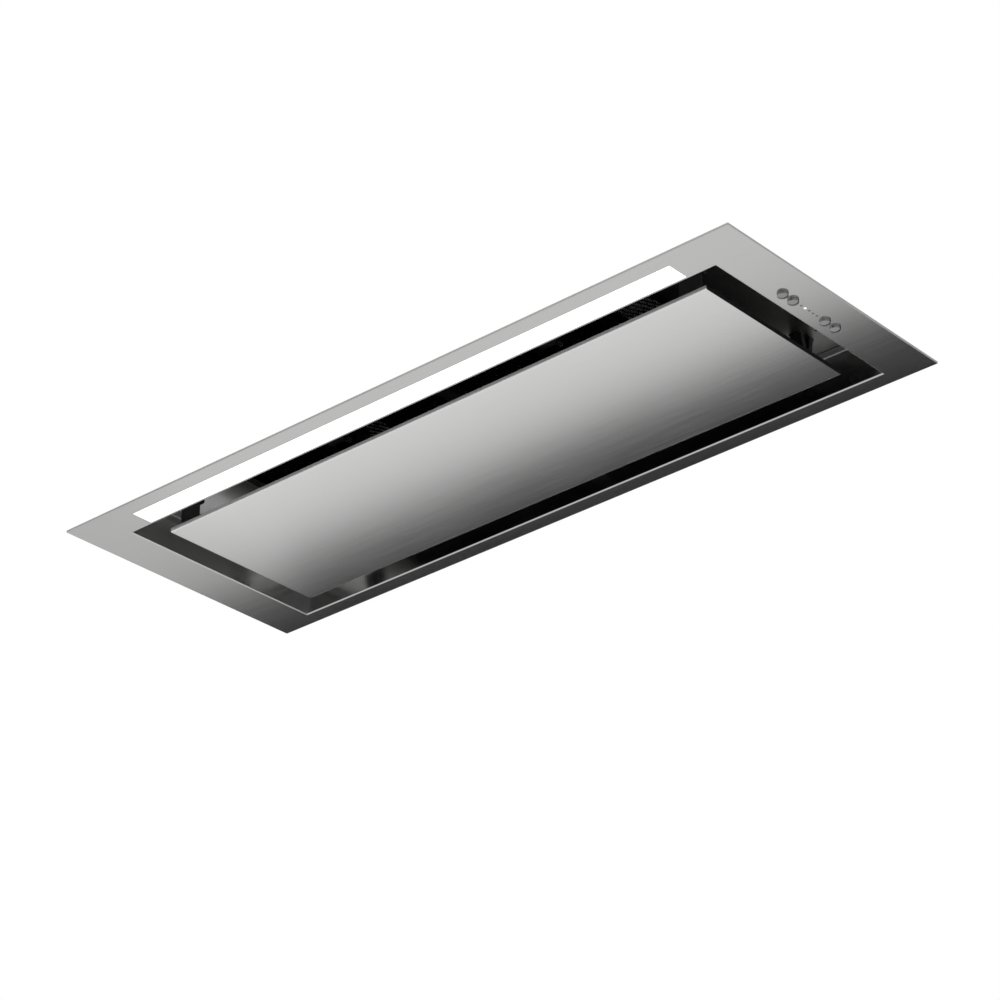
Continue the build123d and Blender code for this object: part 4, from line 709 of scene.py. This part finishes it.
# Blower wheel: curved blades between a middle disc and two rims, whose profiles are radius and x
wheelSetup = {
    "centre": (0, -30, 145), "sides": 96,
    "blades": 36, "inner": 48.0, "outer": 58.45, "sheet": 1.0, "curl": 5.2, "curlShift": 0.4, "bladeSteps": 8,
    "stations": (-50, -25, 0, 25, 50),
    "disc": [(4.0, -12), (11.2, -12), (12, -11.2), (12, -1.6), (13.4, -1), (57.6, -1), (58.2, 0), (57.6, 1),
             (13.4, 1), (12, 1.6), (12, 11.2), (11.2, 12), (4.0, 12), (4.0, -12)],
    "rim": [(58.3, 45), (58.3, 49.4), (58.7, 50), (60.2, 50), (60.7, 49.5), (60.7, 48.9), (60.1, 48.4),
            (60, 45), (58.3, 45)],
}


def bladeStrips(setup):
    # each blade's middle line goes out along the radius while its swing grows with the square of the way
    way = np.linspace(0, 1, setup["bladeSteps"])
    line = np.stack([setup["inner"] + (setup["outer"] - setup["inner"]) * way,
                     setup["curl"] * (way ** 2 - setup["curlShift"])], 1)
    slope = np.gradient(line, axis=0)
    normal = np.stack([-slope[:, 1], slope[:, 0]], 1) / np.linalg.norm(slope, axis=1)[:, None]
    half = normal * setup["sheet"] / 2
    section = np.concatenate([line + half, (line - half)[::-1]])
    path = np.asarray(setup["centre"], float) + np.outer(setup["stations"], (1, 0, 0))
    grids = []
    for angle in np.arange(setup["blades"]) * 2 * np.pi / setup["blades"]:
        outward = np.array((0, np.cos(angle), np.sin(angle)))
        grids.append(carried(path, outward, np.cross((1, 0, 0), outward), section))
    return grids


mirroredRim = [(radius, -x) for radius, x in wheelSetup["rim"]]
rings = [turned(profile, wheelSetup["centre"], (1, 0, 0), wheelSetup["sides"])
         for profile in (wheelSetup["disc"], wheelSetup["rim"], mirroredRim)]
wheelPiece = gridPiece("bladedWheel", bladeStrips(wheelSetup) + rings, "zincSheet", "blower_wheel")
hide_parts("impeller", "impeller_blades")
print("wheel made")

# Cable gland: thread and locknut below the sheet, hexagon and ribbed dome nut above it
glandSetup = {
    "centre": (316, 100), "sides": 144, "ridges": 18, "sharpAngle": 30.0,
    # height, radius, share of a hexagon, depth of the ridges
    "rows": [(83.2, 4.5, 0, 0), (83.2, 8.6, 0, 0), (83.9, 9.4, 0, 0), (90.0, 9.4, 0, 0), (90.0, 12.6, 1, 0),
             (90.5, 13.4, 1, 0), (94.4, 13.4, 1, 0), (94.9, 12.8, 1, 0), (94.9, 9.8, 0, 0), (96.0, 9.8, 0, 0),
             (96.0, 12.9, 1, 0), (96.4, 13.5, 1, 0), (101.4, 13.5, 1, 0), (102.0, 12.8, 1, 0),
             (102.0, 11.0, 0, 0), (102.6, 11.0, 0, 0), (102.6, 12.0, 0, 0.2), (103.2, 12.6, 0, 0.7),
             (110.2, 12.3, 0, 0.7), (113.4, 10.6, 0, 0.4), (115.4, 8.0, 0, 0), (116.0, 6.4, 0, 0),
             (116.0, 4.9, 0, 0), (115.4, 4.5, 0, 0), (83.2, 4.5, 0, 0)],
}


def glandShell(setup):
    # the radius at an angle is the row's, drawn in on a hexagon's flats and between the ridges
    angle = np.linspace(0, 2 * np.pi, setup["sides"], endpoint=False)
    height, radius, hexagon, ridge = (np.asarray(column)[:, None] for column in zip(*setup["rows"]))
    flats = math.cos(math.pi / 6) / np.cos(angle % (math.pi / 3) - math.pi / 6)
    radii = radius * (1 - hexagon * (1 - flats)) - ridge * (0.5 - 0.5 * np.cos(setup["ridges"] * angle))
    x, y = setup["centre"]
    return np.stack([x + radii * np.cos(angle), y + radii * np.sin(angle), height + 0 * radii], 2)


glandPiece = gridPiece("ribbedGland", [glandShell(glandSetup)], "greyPlastic", "hood",
                       glandSetup["sharpAngle"])
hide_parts("cable_gland")

# Moulded ribs on the damper flaps: a rim on the arc and three straight ribs
flapSetup = {"centreY": 28.5, "top": 263.4, "rimRadius": 69.5, "rimReach": 78.0, "rimSteps": 40,
             "width": 2.4, "height": 1.6, "sink": 0.2, "shoulder": 0.7, "crest": 0.5,
             "ribs": (-38, 0, 38), "ribFrom": 7}


def flapRibs(side, setup):
    # the rim's section, a bar with sloped shoulders, is carried along an arc; the ribs are beads
    angle = np.radians(np.linspace(-setup["rimReach"], setup["rimReach"], setup["rimSteps"]))
    outward = np.stack([side * np.cos(angle), np.sin(angle), 0 * angle], 1)
    rim = np.array((0, setup["centreY"], setup["top"])) + setup["rimRadius"] * outward
    wide, high = setup["width"] / 2, setup["height"]
    crest, shoulder = wide * setup["crest"], high * setup["shoulder"]
    section = [(-wide, -setup["sink"]), (wide, -setup["sink"]), (wide, shoulder), (crest, high),
               (-crest, high), (-wide, shoulder)]
    grids = [carried(rim, outward, (0, 0, 1), section)]
    for offset in setup["ribs"]:
        y, reach = setup["centreY"] + offset, math.sqrt(setup["rimRadius"] ** 2 - offset ** 2)
        start, end = (side * setup["ribFrom"], y, setup["top"]), (side * reach, y, setup["top"])
        grids.append(bead(start, end, (0, 0, 1), setup["width"], setup["height"]))
    return grids


gridPiece("flapRibsLeft", flapRibs(-1, flapSetup), "blackPlastic", "damper_left")
gridPiece("flapRibsRight", flapRibs(1, flapSetup), "blackPlastic", "damper_right")
print("gland and flap ribs made")

# Stage: floor, a board that stands for the cabinet's underside, and a graded reflection card, in metres
floorSetup = {"height": -1.85, "reach": 9.0, "colour": (0.80, 0.80, 0.80)}
boardSetup = {"height": 0.0004, "reach": 4.0, "hole": (0.3845, 0.1395), "mirrored": 0.46}
cardSetup = {
    "height": -0.30, "spanX": (-2.0, 1.0), "spanY": (-0.4, 1.6),
    # place along y as a share of the card, and level
    "stops": ((0.0, 0.90), (0.343, 0.885), (0.400, 0.72), (0.430, 0.165), (0.455, 0.045), (0.540, 0.02)),
    # towards the left the run shifts and dims
    "fall": (-0.715, -0.680), "shift": 0.013, "low": 0.83,
}
worldLevel = 0.55
lampTarget = (0, 0, 0.1)
lampSetups = {
    "keyLamp": {"place": (-2.2, -3.2, 3.0), "size": (3.6, 2.8), "power": 72},
    "fillLamp": {"place": (3.0, 2.2, 2.4), "size": (3.0, 2.4), "power": 32},
}


def rectangle(spanX, spanY, height):
    (lowX, highX), (lowY, highY) = spanX, spanY
    return [(lowX, lowY, height), (highX, lowY, height), (highX, highY, height), (lowX, highY, height)]


def square(reachX, reachY, height):
    return rectangle((-reachX, reachX), (-reachY, reachY), height)


def stagePlane(name, corners, faces, material):
    mesh = bpy.data.meshes.new(name)
    mesh.from_pydata(corners, [], faces)
    mesh.materials.append(material)
    plane = bpy.data.objects.new(name, mesh)
    bpy.context.scene.collection.objects.link(plane)
    return plane


def stageMaterial(name):
    # an empty material, with the nodes that tell a face's side and clear it away
    material = bpy.data.materials.new(name)
    material.use_nodes = True
    tree = material.node_tree
    tree.nodes.clear()
    isBack = addNode(tree, "ShaderNodeNewGeometry").outputs["Backfacing"]
    return material, tree, isBack, addNode(tree, "ShaderNodeBsdfTransparent").outputs[0]


def showMixed(tree, factor, first, second):
    output = addNode(tree, "ShaderNodeOutputMaterial")
    mix = addNode(tree, "ShaderNodeMixShader")
    for socket, source in zip(mix.inputs, (factor, first, second)):
        tree.links.new(source, socket)
    tree.links.new(mix.outputs[0], output.inputs["Surface"])


def makeFloor(setup):
    # pale from above, not there from below
    material, tree, isBack, clear = stageMaterial("floorPaint")
    paint = addNode(tree, "ShaderNodeBsdfDiffuse", {"Color": (*setup["colour"], 1)})
    showMixed(tree, isBack, paint.outputs[0], clear)
    stagePlane("floor", square(setup["reach"], setup["reach"], setup["height"]), [(0, 1, 2, 3)], material)


def makeBoard(setup):
    # white where the camera looks up at it, grey where steel mirrors it, and not there for anything else
    material, tree, isBack, clear = stageMaterial("boardWhite")
    white = addNode(tree, "ShaderNodeEmission", {"Color": (1, 1, 1, 1)})
    ray = addNode(tree, "ShaderNodeLightPath").outputs
    seen = combine(tree, "MAXIMUM", ray["Is Camera Ray"], ray["Is Glossy Ray"])
    seen = combine(tree, "MULTIPLY", combine(tree, "SUBTRACT", 1.0, isBack), seen)
    tree.links.new(spread(tree, ray["Is Camera Ray"], setup["mirrored"], 1.0), white.inputs["Strength"])
    showMixed(tree, seen, clear, white.outputs[0])
    corners = square(setup["reach"], setup["reach"], setup["height"]) + square(*setup["hole"], setup["height"])
    stagePlane("cabinetBoard", corners, [(0, 4, 5, 1), (1, 5, 6, 2), (2, 6, 7, 3), (3, 7, 4, 0)], material)


def makeCard(setup):
    # a graded card below and behind the hood, seen only in reflections, lighter towards the lamp side
    material, tree, isBack, clear = stageMaterial("cardGlow")
    ramp = addNode(tree, "ShaderNodeValToRGB")
    glow = addNode(tree, "ShaderNodeEmission")
    stops = ramp.color_ramp.elements
    while len(stops) < len(setup["stops"]):
        stops.new(0.5)
    for stop, (place, level) in zip(stops, setup["stops"]):
        stop.position = place
        stop.color = (level, level, level, 1)
    place = objectPlace(tree)
    leftward = spread(tree, place["X"], 1, 0, *setup["fall"])
    graded = combine(tree, "SUBTRACT", spread(tree, place["Y"], 0, 1, *setup["spanY"]),
                     combine(tree, "MULTIPLY", leftward, setup["shift"]))
    tree.links.new(graded, ramp.inputs["Fac"])
    tree.links.new(ramp.outputs["Color"], glow.inputs["Color"])
    tree.links.new(spread(tree, leftward, 1.0, setup["low"]), glow.inputs["Strength"])
    showMixed(tree, isBack, glow.outputs[0], clear)
    card = stagePlane("reflectionCard", rectangle(setup["spanX"], setup["spanY"], setup["height"]),
                      [(0, 1, 2, 3)], material)
    card.visible_camera = card.visible_diffuse = card.visible_shadow = card.visible_transmission = False


def makeWorld(level):
    # a plain level for what it lights, white where it is seen directly, in gloss or through glass
    world = bpy.data.worlds.new("studio")
    world.use_nodes = True
    bpy.context.scene.world = world
    tree = world.node_tree
    tree.nodes.clear()
    output = addNode(tree, "ShaderNodeOutputWorld")
    background = addNode(tree, "ShaderNodeBackground", {"Color": (1, 1, 1, 1)})
    ray = addNode(tree, "ShaderNodeLightPath").outputs
    seen = combine(tree, "MAXIMUM", ray["Is Camera Ray"], ray["Is Glossy Ray"])
    seen = combine(tree, "MAXIMUM", seen, ray["Is Transmission Ray"])
    tree.links.new(spread(tree, seen, level, 1.0), background.inputs["Strength"])
    tree.links.new(background.outputs[0], output.inputs["Surface"])


def makeLamp(name, setup):
    data = bpy.data.lights.new(name, "AREA")
    data.shape = "RECTANGLE"
    data.size, data.size_y = setup["size"]
    data.energy = setup["power"]
    lamp = bpy.data.objects.new(name, data)
    bpy.context.scene.collection.objects.link(lamp)
    lamp.location = setup["place"]
    lamp.rotation_euler = (Vector(lampTarget) - Vector(setup["place"])).to_track_quat("-Z", "Y").to_euler()


makeFloor(floorSetup)
makeBoard(boardSetup)
makeCard(cardSetup)
makeWorld(worldLevel)
for name, setup in lampSetups.items():
    makeLamp(name, setup)
print("stage and lamps made")
